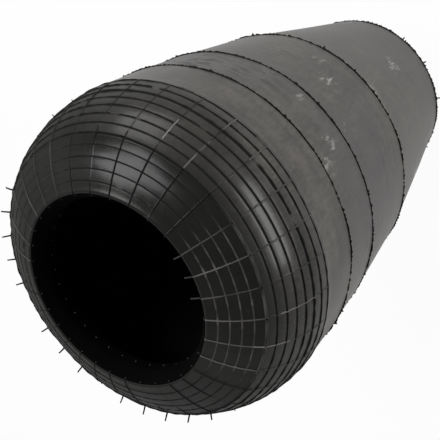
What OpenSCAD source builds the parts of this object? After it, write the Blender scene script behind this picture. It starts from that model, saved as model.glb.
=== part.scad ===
// Rolling-lobe air spring bellows, as moulded and before fitting.
// It stands on its rear bead, with the domed front shoulder up and its axis on Z.
// The origin is the centre of the rear rim, on the plane that the rim stands on.

/* [Sleeve outline] */
// Outside radius at the widest belt
body_r = 135; // [130:1:140]
// Height of the widest belt above the rear rim
belt_z = 324.5; // [320:0.5:330]
// Height of the ellipse that rounds the crown above the belt
crown_h = 88; // [84:1:92]
// Radius at which the crown's ellipse has its centre
crown_c = 60; // [56:1:64]
// Ellipse angle at which the crown ends and the flatter face begins
crown_a = 40; // [38:1:42]
// Radius of the front lip
lip_r = 80; // [79.5:0.1:80.5]
// Height of the front lip
lip_z = 402; // [401:0.5:403]
// How far the face swells above a straight line from the crown to the lip
face_swell = 2.4; // [1.5:0.1:3]
// Outside radius of the rear rim
rim_r = 76; // [75:0.5:78]
// Height of the rear rim's outer edge
rim_z = 4.5; // [4:0.5:6]

/* [Mould joints] */
// How far the first mould joint lies below the belt
joint_1_drop = 44.5; // [40:0.5:50]
// How far the second mould joint lies below the belt
joint_2_drop = 92; // [86:0.5:98]
// How far the third mould joint lies below the belt
joint_3_drop = 177; // [170:0.5:184]
// How much smaller than the belt the sleeve is at the first joint
joint_1_step = 4.5; // [4:0.1:5]
// How much smaller than the belt the sleeve is at the second joint
joint_2_step = 10.5; // [10:0.1:11]
// How much smaller than the belt the sleeve is at the third joint
joint_3_step = 24; // [23:0.1:25]
// Height of the flash left at a mould joint
flash_h = 0.6; // [0.3:0.1:1]

/* [Layers] */
// Thickness of the outer rubber cover
cover_t = 2.2; // [2:0.1:2.6]
// Thickness of one rubberised cord ply
ply_t = 0.9; // [0.7:0.1:1]
// Thickness of the inner rubber liner
liner_t = 1.5; // [1.2:0.1:1.8]

/* [Beads] */
// Diameter of one steel wire in a bead core
wire_d = 1.5; // [1.3:0.1:1.5]
// Radius of the space for the wire bundle
core_r = 4; // [3.9:0.1:4.2]
// Thickness of the rubber wrap round the wire bundle
wrap_t = 0.8; // [0.6:0.1:0.9]
// Clearance between the sleeve's layers and the bead's own pieces
bead_gap = 0.3; // [0.25:0.05:0.35]
// How far from the front lip the bead core lies, along the face
front_core_set = 8; // [7:0.5:9]
// Radius of the front bead's bore
front_bore_r = 72; // [71.5:0.1:72.5]
// Radius of the rear bead's bore
rear_bore_r = 58; // [57.5:0.1:58.5]
// Length of the straight land in each bore
land_l = 9; // [8:0.5:10]

/* [Mould vents] */
// Number of rings moulded on the shoulder, from the belt to the lip
ring_count = 12; // [9:1:12]
// Distance between two rings, along the outline
ring_pitch = 8.5; // [8:0.1:8.6]
// Height of a vent ring and of a vent rib
rib_h = 0.5; // [0.3:0.05:0.8]
// Width of a vent ring and of a vent rib
rib_w = 0.9; // [0.6:0.1:1.2]
// Number of vent channels, and so of ribs, round the shoulder
vent_count = 32; // [24:2:36]
// How far the vent channels drift from even spacing, in degrees
vent_drift = 5.2; // [0:0.2:6]
// Length of a rubber hair left by a vent hole
spew_l = 7; // [3:0.5:9]
// Diameter of that hair
spew_d = 1.1; // [0.8:0.1:1.4]

/* [Hidden] */

$fn = 120;
even_angles = [for (i = [0:vent_count - 1]) (i + 0.5) * 360 / vent_count];
vent_angles = [for (a = even_angles) a + vent_drift * cos(a)];
arc_step = 15;
wall_step = ring_pitch / 2;
thick_ring = 2;
crown_ring = 7;
rubber = [0.16, 0.16, 0.16];
cord = [0.55, 0.5, 0.42];
steel = [0.72, 0.72, 0.74];
hairpin_r = core_r + wrap_t + bead_gap;
core_depth = cover_t + 2 * ply_t + hairpin_r;
bulge_h = 2 * hairpin_r + 2 * ply_t;

// Small helpers on points of the section, written as [radius, height]
function unit(v) = v / norm(v);
function angle_of(v) = atan2(v[1], v[0]);
function at_angle(t) = [cos(t), sin(t)];
function left_of(v) = [v[1], -v[0]];
function reverse(list) = [for (i = [len(list) - 1:-1:0]) list[i]];
function smooth(x) = x <= 0 ? 0 : x >= 1 ? 1 : x * x * (3 - 2 * x);
function round_arc(centre, radius, from, to) =
    let (count = ceil(abs(to - from) / arc_step))
    [for (i = [0:count]) centre + radius * at_angle(from + (to - from) * i / count)];

// The domed shoulder, by the distance m along it from the belt: first the crown, then the face
crown_run = crown_ring * ring_pitch;
function crown_angle(m) = crown_a * m / crown_run;
function crown_point(m) =
    [crown_c + (body_r - crown_c) * cos(crown_angle(m)), belt_z + crown_h * sin(crown_angle(m))];
function crown_normal(m) = unit([cos(crown_angle(m)) / (body_r - crown_c), sin(crown_angle(m)) / crown_h]);
crown_end = crown_point(crown_run);
face_run = norm([lip_r, lip_z] - crown_end);
face_dir = ([lip_r, lip_z] - crown_end) / face_run;
face_up = left_of(face_dir);
function face_point(m) =
    let (q = (m - crown_run) / face_run)
    crown_end + q * face_run * face_dir + 4 * face_swell * q * (1 - q) * face_up;
function face_normal(m) =
    let (q = (m - crown_run) / face_run)
    unit(left_of(face_dir + 4 * face_swell * (1 - 2 * q) / face_run * face_up));
function dome_normal(m) =
    abs(m - crown_run) < 0.01 ? unit(crown_normal(m) + face_normal(m))
    : m < crown_run ? crown_normal(m)
    : face_normal(m);
function under_dome(m, depth) = (m < crown_run ? crown_point(m) : face_point(m)) - depth * dome_normal(m);
lip_m = crown_run + face_run;
front_core_m = lip_m - front_core_set;
bulge_full_m = front_core_m - 3;
bulge_start_m = crown_run - 3.5;
function front_bulge(m) = bulge_h * smooth((m - bulge_start_m) / (bulge_full_m - bulge_start_m));

// The conical stretches between the belt and the rear rim, one for each part of the mould
belt_point = [body_r, belt_z];
joint_points = [
    belt_point - [joint_1_step, joint_1_drop],
    belt_point - [joint_2_step, joint_2_drop],
    belt_point - [joint_3_step, joint_3_drop]
];
rim_point = [rim_r, rim_z];
side_points = concat([belt_point], joint_points, [rim_point]);
function side_normal(i) = left_of(unit(side_points[i + 1] - side_points[i])) * -1;
function under_joint(i, depth) =
    let (above = side_normal(i), below = side_normal(i + 1))
    joint_points[i] - depth * (above + below) / (1 + above * below);

// The last cone, by the distance s along it from the rear rim
cone_dir = unit(joint_points[2] - rim_point);
cone_normal = left_of(cone_dir);
function under_cone(s, depth) = rim_point + s * cone_dir - depth * cone_normal;
bulge_full_s = 8;
bulge_end_s = 62;
function rear_bulge(s) = bulge_h * smooth((bulge_end_s - s) / (bulge_end_s - bulge_full_s));

// The bead cores lie under the cover, with both turned-up plies between them and it
front_core = under_dome(front_core_m, core_depth);
front_n = angle_of(dome_normal(front_core_m));
rear_core_z = core_depth;
rear_core_s = (rear_core_z - rim_z + core_depth * cone_normal[1]) / cone_dir[1];
rear_core = under_cone(rear_core_s, core_depth);
rear_n = angle_of(cone_normal);

// A line through the sleeve's wall from bead to bead, off further in than the outer ply's outer face
cone_steps = [60, 54, 48, 42, 36, 30, 24, 18, 12, 7];
function upper_wall(off, from_m) = concat(
    [for (m = [from_m:-wall_step:0]) under_dome(m, cover_t + front_bulge(m) + off)],
    [for (i = [0:2]) under_joint(i, cover_t + off)]
);
function lower_wall(off, end_s) =
    [for (s = cone_steps) if (s >= end_s) under_cone(s, cover_t + rear_bulge(s) + off)];

// A ply's line turns up round the wire core at each end and comes back under the cover
function ply_line(off, front_end_m, rear_end_s) = concat(
    [for (m = [front_end_m:wall_step:front_core_m - 2]) under_dome(m, core_depth - hairpin_r - off)],
    round_arc(front_core, hairpin_r + off, front_n, front_n + 180),
    upper_wall(off, crown_run + 7 * wall_step),
    lower_wall(off, 0),
    round_arc(rear_core, hairpin_r + off, rear_n - 180, rear_n),
    [under_cone(rear_end_s, core_depth - hairpin_r - off)]
);

module ply(off, front_end_m, rear_end_s) {
    far = ply_line(off + ply_t, front_end_m, rear_end_s);
    near = ply_line(off, front_end_m, rear_end_s);
    rotate_extrude() polygon(concat(far, reverse(near)));
}

// The cover carries the vent rings, the flash of the mould joints and the rounded rear rim
function bump(m, height, half) = [
    under_dome(m + half, 0),
    under_dome(m + 0.4 * half, -height),
    under_dome(m - 0.4 * half, -height),
    under_dome(m - half, 0)
];
function ring_bump(i) =
    i == thick_ring ? bump(i * ring_pitch, 1.4 * rib_h, rib_w)
    : i == crown_ring ? bump(i * ring_pitch, 1.8 * rib_h, 0.8 * rib_w)
    : bump(i * ring_pitch, rib_h, 0.5 * rib_w);
function joint_bump(i) = [
    under_joint(i, 0) + [0, 0.45],
    under_joint(i, -flash_h),
    under_joint(i, 0) - [0, 0.45]
];
lip_nose = [
    under_dome(lip_m, cover_t),
    under_dome(lip_m + 0.5, 0.9),
    under_dome(lip_m, 0.1),
    under_dome(lip_m - 1.6, -0.3),
    under_dome(lip_m - 3.4, 0)
];
cover_outside = concat(
    lip_nose,
    [for (i = [ring_count - 1:-1:1]) for (p = concat(ring_bump(i), [under_dome((i - 0.5) * ring_pitch, 0)])) p],
    [under_dome(rib_w / 2, 0), under_dome(rib_w / 5, -rib_h), [body_r + rib_h, belt_z], [body_r, belt_z - 0.5]],
    [for (i = [0:2]) for (p = joint_bump(i)) p],
    [under_cone(1.5, 0), under_cone(0.6, -flash_h), under_cone(-0.4, 0)],
    [[rim_r - 1.6, 1.2], [rim_r - 3.4, 0], [rear_core[0] + 1, 0], [rear_core[0] + 1, cover_t]]
);
cover_inside = concat(
    round_arc(rear_core, core_depth - cover_t, rear_n - 60, rear_n),
    [for (i = [2:-1:0]) under_joint(i, cover_t)],
    [for (m = [0:wall_step:lip_m - 2]) under_dome(m, cover_t)]
);

module outer_cover() {
    color(rubber)
    rotate_extrude() polygon(concat(cover_outside, cover_inside));
}

module outer_cord_ply() {
    color(cord)
    ply(0, crown_run + 4 * wall_step, 24);
}

module inner_cord_ply() {
    color(cord)
    ply(ply_t, crown_run + 2 * wall_step, 32);
}

module inner_liner() {
    from_m = crown_run + 8 * wall_step;
    far = concat(upper_wall(2 * ply_t + liner_t, from_m), lower_wall(2 * ply_t + liner_t, 18));
    near = concat(upper_wall(2 * ply_t, from_m), lower_wall(2 * ply_t, 18));
    color(rubber)
    rotate_extrude() polygon(concat(far, reverse(near)));
}

// Thin ribs from the belt to the lip, moulded by the vent channels that cross the rings
module vent_rib() {
    sunk = 0.3;
    stations = [for (m = [lip_m - 2:-wall_step:0]) m];
    outside = [for (m = stations) under_dome(m, -rib_h)];
    inside = [for (m = reverse(stations)) under_dome(m, sunk)];
    rotate([90, 0, 0]) linear_extrude(rib_w * 0.8, center = true) polygon(concat(outside, inside));
}

module shoulder_vent_ribs() {
    color(rubber)
    for (a = vent_angles) rotate([0, 0, a]) vent_rib();
}

// One hair stands at a point of the section and leans by the given angle from level
module spew(foot, tilt, length) {
    sunk = 0.4;
    translate([foot[0], 0, foot[1]]) rotate([0, 90 - tilt, 0])
        translate([0, 0, -sunk]) cylinder(h = length + sunk, d1 = spew_d, d2 = 0.7 * spew_d);
}

module spew_ring(foot, tilt, length) {
    color(rubber)
    for (a = vent_angles) rotate([0, 0, a]) spew(foot, tilt, length);
}

module shoulder_vent_spews() {
    spew_ring(under_dome(crown_run, -rib_h), angle_of(dome_normal(crown_run)), spew_l);
}

module rim_vent_spews() {
    spew_ring(under_cone(0.6, -flash_h), rear_n, 0.4 * spew_l);
}

// Nineteen eight-sided wires in a round bundle: one in the middle, then rings of six and twelve
module wire_core(centre) {
    pitch = wire_d + 0.05;
    color(steel)
    for (row = [-2:2]) for (col = [0:4 - abs(row)])
        rotate_extrude() translate(centre + pitch * [col - (4 - abs(row)) / 2, row * sin(60)])
            circle(d = wire_d, $fn = 8);
}

module core_wrap(centre) {
    color([0.3, 0.28, 0.26])
    rotate_extrude() translate(centre) difference() {
        circle(r = core_r + wrap_t, $fn = 48);
        circle(r = core_r, $fn = 48);
    }
}

module front_wire_core() wire_core(front_core);
module rear_wire_core() wire_core(rear_core);
module front_core_wrap() core_wrap(front_core);
module rear_core_wrap() core_wrap(rear_core);

// The fillers are wedges between the plies that run in and the plies that turn up
module front_bead_filler() {
    stations = [for (m = [bulge_start_m + 14:wall_step:front_core_m - 5]) m];
    outside = [for (m = stations) under_dome(m, core_depth - hairpin_r + bead_gap)];
    inside = [for (m = reverse(stations)) under_dome(m, cover_t + front_bulge(m) - bead_gap)];
    hollow = round_arc(front_core, core_r + wrap_t + 0.1, front_n - 15, front_n - 165);
    color(rubber)
    rotate_extrude() polygon(concat(outside, hollow, inside));
}

module rear_bead_filler() {
    stations = [36, 30, 24, 18, 12];
    outside = [for (s = stations) under_cone(s, core_depth - hairpin_r + bead_gap)];
    inside = [for (s = reverse(stations)) under_cone(s, cover_t + rear_bulge(s) - bead_gap)];
    hollow = round_arc(rear_core, core_r + wrap_t + 0.1, rear_n + 15, rear_n + 165);
    color(rubber)
    rotate_extrude() polygon(concat(outside, hollow, inside));
}

// The toe strips line the bores and take the wear of the seat
toe_r = hairpin_r + 2 * ply_t + bead_gap;
toe_top = under_dome(lip_m + bead_gap + 0.5, 0.6);
front_land_z = front_core[1] - 0.9 * land_l;
rear_land_z = rear_core[1] - 0.55 * land_l;

module front_toe_strip() {
    lip_root = under_dome(lip_m + bead_gap + 0.5, cover_t);
    land_top = [front_bore_r, front_land_z + land_l];
    color(rubber)
    rotate_extrude() polygon(concat(
        [toe_top, toe_top - [1.6, 1.4], toe_top - [3.6, 4], land_top + [0.8, 1.6], land_top],
        [[front_bore_r, front_land_z], [front_bore_r + 1, front_land_z - 2.4], [front_bore_r + 4, front_land_z - 4]],
        round_arc(front_core, toe_r, front_n + 165, front_n + 30),
        [lip_root]
    ));
}

module rear_toe_strip() {
    foot_z = 0.5;
    land_top = [rear_bore_r, rear_land_z + land_l];
    color(rubber)
    rotate_extrude() polygon(concat(
        [[rear_core[0] + 0.6, foot_z], [rear_bore_r + 3, foot_z], [rear_bore_r, rear_land_z]],
        [land_top, land_top + [1.2, 3], under_cone(12, cover_t + rear_bulge(12) + 2 * ply_t + bead_gap)],
        round_arc(rear_core, toe_r, rear_n + 180, 270)
    ));
}

// Short hairs round the lip that point into the opening
module lip_vent_spews() {
    spew_ring(toe_top - [1, 0.9], 150, 0.8 * spew_l);
}

outer_cover();
outer_cord_ply();
inner_cord_ply();
inner_liner();
shoulder_vent_ribs();
shoulder_vent_spews();
rim_vent_spews();
front_wire_core();
front_core_wrap();
front_bead_filler();
front_toe_strip();
lip_vent_spews();
rear_wire_core();
rear_core_wrap();
rear_bead_filler();
rear_toe_strip();
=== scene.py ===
"""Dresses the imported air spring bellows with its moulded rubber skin, hairs, flash and finishes.

The sleeve stands on its rear bead with the domed shoulder up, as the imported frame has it.
Sizes are in millimetres, as in the CAD source, and meshes are made in metres.
A section point is (radius, height). A place "along" is its distance from the belt up the dome.
"""

import logging
import math
from dataclasses import dataclass, field, replace
from enum import Enum

import bpy
import numpy as np
from mathutils import Matrix, Vector


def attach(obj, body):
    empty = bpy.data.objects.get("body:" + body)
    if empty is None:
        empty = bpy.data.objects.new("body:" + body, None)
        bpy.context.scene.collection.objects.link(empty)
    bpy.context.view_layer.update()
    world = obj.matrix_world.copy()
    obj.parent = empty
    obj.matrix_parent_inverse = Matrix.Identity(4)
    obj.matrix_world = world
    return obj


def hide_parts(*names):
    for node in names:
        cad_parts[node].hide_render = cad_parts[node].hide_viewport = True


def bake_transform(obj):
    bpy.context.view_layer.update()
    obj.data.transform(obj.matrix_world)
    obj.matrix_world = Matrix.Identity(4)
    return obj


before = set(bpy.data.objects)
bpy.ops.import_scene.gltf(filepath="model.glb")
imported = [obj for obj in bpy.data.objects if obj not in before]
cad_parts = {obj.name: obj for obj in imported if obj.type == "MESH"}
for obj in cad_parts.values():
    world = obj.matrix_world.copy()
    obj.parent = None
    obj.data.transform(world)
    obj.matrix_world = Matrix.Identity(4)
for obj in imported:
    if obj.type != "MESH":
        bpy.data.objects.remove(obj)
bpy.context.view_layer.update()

MM = 0.001
UNDER_BELT = -0.5
OFF_DOME = -99.0
WHITE = (1.0, 1.0, 1.0, 1.0)
SEEN_RAYS = ("Camera", "Glossy", "Transmission")
log = logging.getLogger("bellows")

Array = np.ndarray
Pair = tuple[float, float]
Pairs = tuple[Pair, ...]
Triple = tuple[float, float, float]
Colour = Triple
Line = list[Array]
Socket = bpy.types.NodeSocket
Feeds = dict[str | int, Socket | float | tuple[float, ...]]
Material = bpy.types.Material
Piece = bpy.types.Object


class Slot(Enum):
    """The record's material slots."""

    COVER = "cover_rubber"
    CORD = "cord_ply"
    LINER = "liner_rubber"
    TOE = "toe_rubber"


class Body(Enum):
    """The moving bodies of the frame."""

    REAR = "rear_bead"
    SLEEVE = "sleeve"
    FRONT = "front_bead"


class Mark(Enum):
    """What a mesh says about each place of its surface."""

    RIDGE = "ridge"
    PALE = "pale"
    DUST = "dust"
    DULL = "dull"


class Ring(Enum):
    """The kinds of vent ring: height against ring_h, and half width against ring_w."""

    PLAIN = (1.0, 0.4)
    THICK = (1.3, 0.6)
    CROWN = (1.4, 0.5)
    FACE = (0.5, 0.24)


class Patch(Enum):
    """The shoulder's patches of finish, by the number of their first material."""

    CROWN = 0
    RIDGE = 1
    FACE = 2
    SHELF = 3


def smooth_step(x: Array) -> Array:
    """Eases from 0 to 1 as x goes from 0 to 1."""
    x = np.clip(x, 0.0, 1.0)
    return x * x * (3 - 2 * x)


def unit(v: Array) -> Array:
    """Gives a vector its length of one."""
    return v / np.linalg.norm(v)


def left_of(v: Array) -> Array:
    """Turns a section vector a quarter turn, as the CAD source does."""
    return np.array([v[1], -v[0]])


def angle_of(v: Array) -> float:
    """Direction of a section vector, in degrees."""
    return math.degrees(math.atan2(v[1], v[0]))


def apart(angles: Array, centre: float) -> Array:
    """Turn between each angle and a centre, the shorter way round, in radians."""
    return np.abs(np.angle(np.exp(1j * (angles - centre))))


def straight(start: Array, end: Array, steps: int) -> Line:
    """Even points of a straight line, without its start."""
    return [start + (end - start) * q for q in np.linspace(0, 1, steps + 1)[1:]]


def beside(corner: Pair | Array, *steps: Pair) -> Line:
    """Points that lie the given steps away from a corner."""
    return [np.asarray(corner) + np.array(step) for step in steps]


def grey(level: float) -> Colour:
    """A neutral colour."""
    return (level, level, level)


@dataclass(frozen=True)
class RoundNoise:
    """Smooth noise round the axis that closes on itself.

    Attributes:
        seed: Picks the waves.
        waves: How many waves are summed.
        slowest: Fewest turns of a wave round the axis.
        fastest: Most turns of a wave round the axis.
        slant: Spread of the waves' slopes, in radians per mm.
    """

    seed: int
    waves: int = 24
    slowest: int = 1
    fastest: int = 40
    slant: float = 0.06

    def at(self, angle: Array, along: Array | float = 0.0) -> Array:
        """Samples the noise.

        Args:
            angle: Angles round the axis, in radians.
            along: Place along the outline, in mm, or one number for a ring.

        Returns:
            Values that mostly lie between -1 and 1.
        """
        rng = np.random.default_rng(self.seed)
        total = np.zeros(np.broadcast(angle, along).shape)
        for _ in range(self.waves):
            turns = rng.integers(self.slowest, self.fastest + 1)
            slope = rng.normal(0.0, self.slant)
            phase = rng.uniform(0, math.tau)
            total += np.cos(turns * angle + slope * along + phase)
        return total / math.sqrt(self.waves / 2) / 2


@dataclass(frozen=True)
class SleeveOutline:
    """The section of the sleeve, with the same named sizes as the CAD source."""

    # Belt, crown, face and lip.
    body_r: float = 135.0
    belt_z: float = 324.5
    crown_h: float = 88.0
    crown_c: float = 60.0
    crown_a: float = 40.0
    lip_r: float = 80.0
    lip_z: float = 402.0
    face_swell: float = 2.4
    # Rear rim, and the mould joints' drop and step in from the belt.
    rim_r: float = 76.0
    rim_z: float = 4.5
    joint_drop: tuple[float, ...] = (44.5, 92.0, 177.0)
    joint_step: tuple[float, ...] = (4.5, 10.5, 24.0)
    # Layers of the wall, wire cores and bores.
    cover_t: float = 2.2
    ply_t: float = 0.9
    liner_t: float = 1.5
    core_r: float = 4.0
    wrap_t: float = 0.8
    bead_gap: float = 0.3
    front_core_set: float = 8.0
    front_bore_r: float = 72.0
    rear_bore_r: float = 58.0
    land_l: float = 9.0
    # Vent rings.
    ring_count: int = 12
    ring_pitch: float = 8.5
    crown_ring: int = 7
    # Where the wall thickens over the cores, and the steps of its lines.
    front_bulge_lead: float = 3.5
    front_bulge_stop: float = 3.0
    bulge_full_s: float = 8.0
    bulge_end_s: float = 62.0
    rear_stations: Triple = (60.0, 5.0, -3.0)
    arc_step: float = 7.5

    @property
    def crown_run(self) -> float:
        """Distance from the belt to the crown's end, along the outline."""
        return self.crown_ring * self.ring_pitch

    @property
    def wall_step(self) -> float:
        """Distance between two stations of the wall."""
        return self.ring_pitch / 2

    @property
    def hairpin_r(self) -> float:
        """Radius at which the first ply turns round a core."""
        return self.core_r + self.wrap_t + self.bead_gap

    @property
    def core_depth(self) -> float:
        """Depth of a core's centre under the cover."""
        return self.cover_t + 2 * self.ply_t + self.hairpin_r

    @property
    def bulge_h(self) -> float:
        """How much a core and the turned-up plies thicken the wall."""
        return 2 * self.hairpin_r + 2 * self.ply_t

    def _crown(self, m: float) -> tuple[Array, Array]:
        """Follows the crown's ellipse.

        Args:
            m: Distance from the belt.

        Returns:
            Point and outward normal.
        """
        t = math.radians(self.crown_a) * m / self.crown_run
        across = self.body_r - self.crown_c
        radius = self.crown_c + across * math.cos(t)
        point = np.array([radius, self.belt_z + self.crown_h * math.sin(t)])
        return point, unit(np.array([math.cos(t) / across, math.sin(t) / self.crown_h]))

    @property
    def crown_end(self) -> Array:
        """Point at which the crown turns into the face."""
        return self._crown(self.crown_run)[0]

    @property
    def lip(self) -> Array:
        """Point at which the face ends."""
        return np.array([self.lip_r, self.lip_z])

    @property
    def face_run(self) -> float:
        """Length of the flatter face from the crown to the lip."""
        return float(np.linalg.norm(self.lip - self.crown_end))

    @property
    def lip_m(self) -> float:
        """Distance from the belt to the lip, along the outline."""
        return self.crown_run + self.face_run

    def _face(self, m: float) -> tuple[Array, Array]:
        """Follows the slightly swollen face.

        Args:
            m: Distance from the belt.

        Returns:
            Point and outward normal.
        """
        run = self.face_run
        along = (self.lip - self.crown_end) / run
        up = left_of(along)
        q = (m - self.crown_run) / run
        point = self.crown_end + q * run * along + 4 * self.face_swell * q * (1 - q) * up
        return point, unit(left_of(along + 4 * self.face_swell * (1 - 2 * q) / run * up))

    def dome(self, m: float, depth: float = 0.0) -> Array:
        """Point of the shoulder at m, at a depth under its surface."""
        point, _ = self._crown(m) if m < self.crown_run else self._face(m)
        return point - depth * self.dome_normal(m)

    def dome_normal(self, m: float) -> Array:
        """Finds the outward normal of the shoulder, which is halved at the crown's edge.

        Args:
            m: Distance from the belt.

        Returns:
            The unit normal.
        """
        if abs(m - self.crown_run) < 0.01:
            return unit(self._crown(m)[1] + self._face(m)[1])
        return self._crown(m)[1] if m < self.crown_run else self._face(m)[1]

    @property
    def side_points(self) -> Line:
        """The belt, the three mould joints and the rear rim."""
        steps = [(0, 0), *((-s, -d) for s, d in zip(self.joint_step, self.joint_drop))]
        return [*beside((self.body_r, self.belt_z), *steps), np.array([self.rim_r, self.rim_z])]

    def side_normal(self, i: int) -> Array:
        """Outward normal of the conical stretch below side point i."""
        a, b = self.side_points[i], self.side_points[i + 1]
        return -left_of(unit(b - a))

    def joint(self, i: int, depth: float = 0.0) -> Array:
        """Point of mould joint i at a depth under the surface."""
        above, below = self.side_normal(i), self.side_normal(i + 1)
        return self.side_points[i + 1] - depth * (above + below) / (1 + above @ below)

    @property
    def cone_dir(self) -> Array:
        """Direction of the last cone, from the rim up."""
        return unit(self.side_points[3] - self.side_points[4])

    @property
    def cone_normal(self) -> Array:
        """Outward normal of the last cone."""
        return left_of(self.cone_dir)

    @property
    def cone_run(self) -> float:
        """Length of the last cone, from the rim to the third mould joint."""
        return float(np.linalg.norm(self.side_points[3] - self.side_points[4]))

    def cone(self, s: float, depth: float = 0.0) -> Array:
        """Point of the last cone at distance s from the rim and at a depth."""
        return self.side_points[4] + s * self.cone_dir - depth * self.cone_normal

    @property
    def front_core_m(self) -> float:
        """Where the front core lies, along the outline."""
        return self.lip_m - self.front_core_set

    @property
    def front_core(self) -> Array:
        """Centre of the front core."""
        return self.dome(self.front_core_m, self.core_depth)

    @property
    def rear_core(self) -> Array:
        """Centre of the rear core, as high over the floor as it is deep under the cover."""
        rise = self.core_depth - self.rim_z + self.core_depth * self.cone_normal[1]
        return self.cone(rise / self.cone_dir[1], self.core_depth)

    def front_bulge(self, m: float) -> float:
        """Finds how much the wall is thickened by the front bead.

        Args:
            m: Distance from the belt.

        Returns:
            The added thickness.
        """
        start = self.crown_run - self.front_bulge_lead
        full = self.front_core_m - self.front_bulge_stop
        return self.bulge_h * float(smooth_step(np.array((m - start) / (full - start))))

    def rear_bulge(self, s: float) -> float:
        """How much the wall is thickened by the rear bead at s."""
        q = (self.bulge_end_s - s) / (self.bulge_end_s - self.bulge_full_s)
        return self.bulge_h * float(smooth_step(np.array(q)))

    def arc(self, centre: Array, radius: float, start: float, end: float) -> Line:
        """Follows an arc.

        Args:
            centre: Its centre.
            radius: Its radius.
            start: First angle, in degrees.
            end: Last angle, in degrees.

        Returns:
            Points no further apart than the arc step.
        """
        count = math.ceil(abs(end - start) / self.arc_step)
        angles = np.radians(np.linspace(start, end, count + 1))
        return [centre + radius * np.array([math.cos(t), math.sin(t)]) for t in angles]

    def front_wall(self, off: float, from_m: float) -> Line:
        """Follows the wall inside from the front bead down to the second mould joint.

        Args:
            off: How much further in than the outer ply's outer face.
            from_m: Where the line starts, along the outline.

        Returns:
            Points from the front down.
        """
        stations = np.arange(from_m, -0.01, -self.wall_step)
        dome = [self.dome(m, self.cover_t + self.front_bulge(m) + off) for m in stations]
        return dome + [self.joint(i, self.cover_t + off) for i in (0, 1)]

    def rear_wall(self, off: float, end_s: float) -> Line:
        """Follows the wall inside from the second mould joint down to the rear bead.

        Args:
            off: How much further in than the outer ply's outer face.
            end_s: Where the line ends, from the rim.

        Returns:
            Points from the joint down.
        """
        stations = [s for s in np.arange(*self.rear_stations) if s >= end_s]
        cone = [self.cone(s, self.cover_t + self.rear_bulge(s) + off) for s in stations]
        return [self.joint(i, self.cover_t + off) for i in (1, 2)] + cone


@dataclass(frozen=True)
class VentLayout:
    """Where the mould's vent channels cross the shoulder.

    Attributes:
        count: Number of channels round the axis.
        drift: How far they drift from even spacing, in degrees.
    """

    count: int = 32
    drift: float = 5.2

    def angles(self) -> Array:
        """Angles of the channels round the axis, in radians."""
        even = (np.arange(self.count) + 0.5) * math.tau / self.count
        return even + math.radians(self.drift) * np.cos(even)

    def nearest(self, degrees: float) -> float:
        """The channel's angle that is nearest to the given one, in radians."""
        return float(self.angles()[np.argmin(apart(self.angles(), math.radians(degrees)))])


@dataclass(frozen=True)
class Sag:
    """Slow unevenness of the soft sleeve, the same for every piece of its wall.

    Attributes:
        waves: Each wave's height in mm, turns round the axis, phase, and mm of rise per radian.
        rear_end: Height at which the rear bead stops holding the wall, and the run to full sag.
        front_end: The same below the front bead.
    """

    waves: tuple[tuple[float, int, float, float], ...] = (
        (0.5, 2, 0.7, 260.0), (0.3, 3, 0.0, -170.0), (0.22, 7, 0.0, 60.0), (0.14, 11, 1.2, -41.0),
    )
    rear_end: Pair = (4.0, 60.0)
    front_end: Pair = (408.0, 40.0)

    def at(self, angle: Array, height: Array) -> Array:
        """Samples the unevenness.

        Args:
            angle: Angles round the axis, in radians.
            height: Heights over the floor, in mm.

        Returns:
            Distance along the wall's normal, in mm.
        """
        total = np.zeros_like(angle)
        for size, turns, phase, rise in self.waves:
            total += size * np.sin(turns * angle + phase + height / rise)
        free = smooth_step((height - self.rear_end[0]) / self.rear_end[1])
        return total * free * smooth_step((self.front_end[0] - height) / self.front_end[1])


OUTLINE = SleeveOutline()
VENTS = VentLayout()
SAG = Sag()


class NodeSheet:
    """Short calls for the nodes of one shader tree."""

    def __init__(self, tree: bpy.types.NodeTree) -> None:
        """Works on a tree."""
        self.tree = tree

    def link(self, source: Socket, target: Socket) -> None:
        """Joins two sockets."""
        self.tree.links.new(source, target)

    def add(self, kind: str, output: str, inputs: Feeds, **settings: str) -> Socket:
        """Adds a node and feeds it.

        Args:
            kind: The node's type.
            output: Which of its outputs is wanted.
            inputs: What each input takes, by name or number: a socket, or a plain value.
            settings: The node's own settings.

        Returns:
            The output.
        """
        node = self.tree.nodes.new(f"ShaderNode{kind}")
        for name, value in settings.items():
            setattr(node, name, value)
        for name, value in inputs.items():
            if isinstance(value, Socket):
                self.link(value, node.inputs[name])
            else:
                node.inputs[name].default_value = value
        return node.outputs[output]

    def math(self, kind: str, first: Socket | float, second: Socket | float) -> Socket:
        """One step of arithmetic."""
        return self.add("Math", "Value", {0: first, 1: second}, operation=kind)

    def ramp(self, value: Socket, low: float, high: float) -> Socket:
        """Stretches the span from low to high over 0 to 1, with eased ends."""
        ends = {"Value": value, "From Min": low, "From Max": high}
        return self.add("MapRange", "Result", ends, interpolation_type="SMOOTHSTEP")

    def span(self, value: Socket, low: float, high: float) -> Socket:
        """Maps 0 to 1 onto low to high."""
        return self.add("MapRange", "Result", {"Value": value, "To Min": low, "To Max": high})

    def mix(self, share: Socket, first: Socket | Colour, second: Socket | Colour) -> Socket:
        """Mixes two colours, each a socket or a plain colour."""
        first, second = ((*c, 1.0) if isinstance(c, tuple) else c for c in (first, second))
        return self.add("Mix", "Result", dict(Factor=share, A=first, B=second), data_type="RGBA")

    def noise(self, place: Socket, scale: float, detail: float, rough: float = 0.55) -> Socket:
        """Fractal noise from 0 to 1."""
        inputs = {"Vector": place, "Scale": scale, "Detail": detail, "Roughness": rough}
        return self.add("TexNoise", "Fac", inputs)

    def seen_rays(self) -> Socket:
        """Is 1 for rays from the camera, from gloss and through glass."""
        camera, *others = (self.add("LightPath", f"Is {ray} Ray", {}) for ray in SEEN_RAYS)
        return self.math("MAXIMUM", self.math("MAXIMUM", camera, others[0]), others[1])


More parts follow.
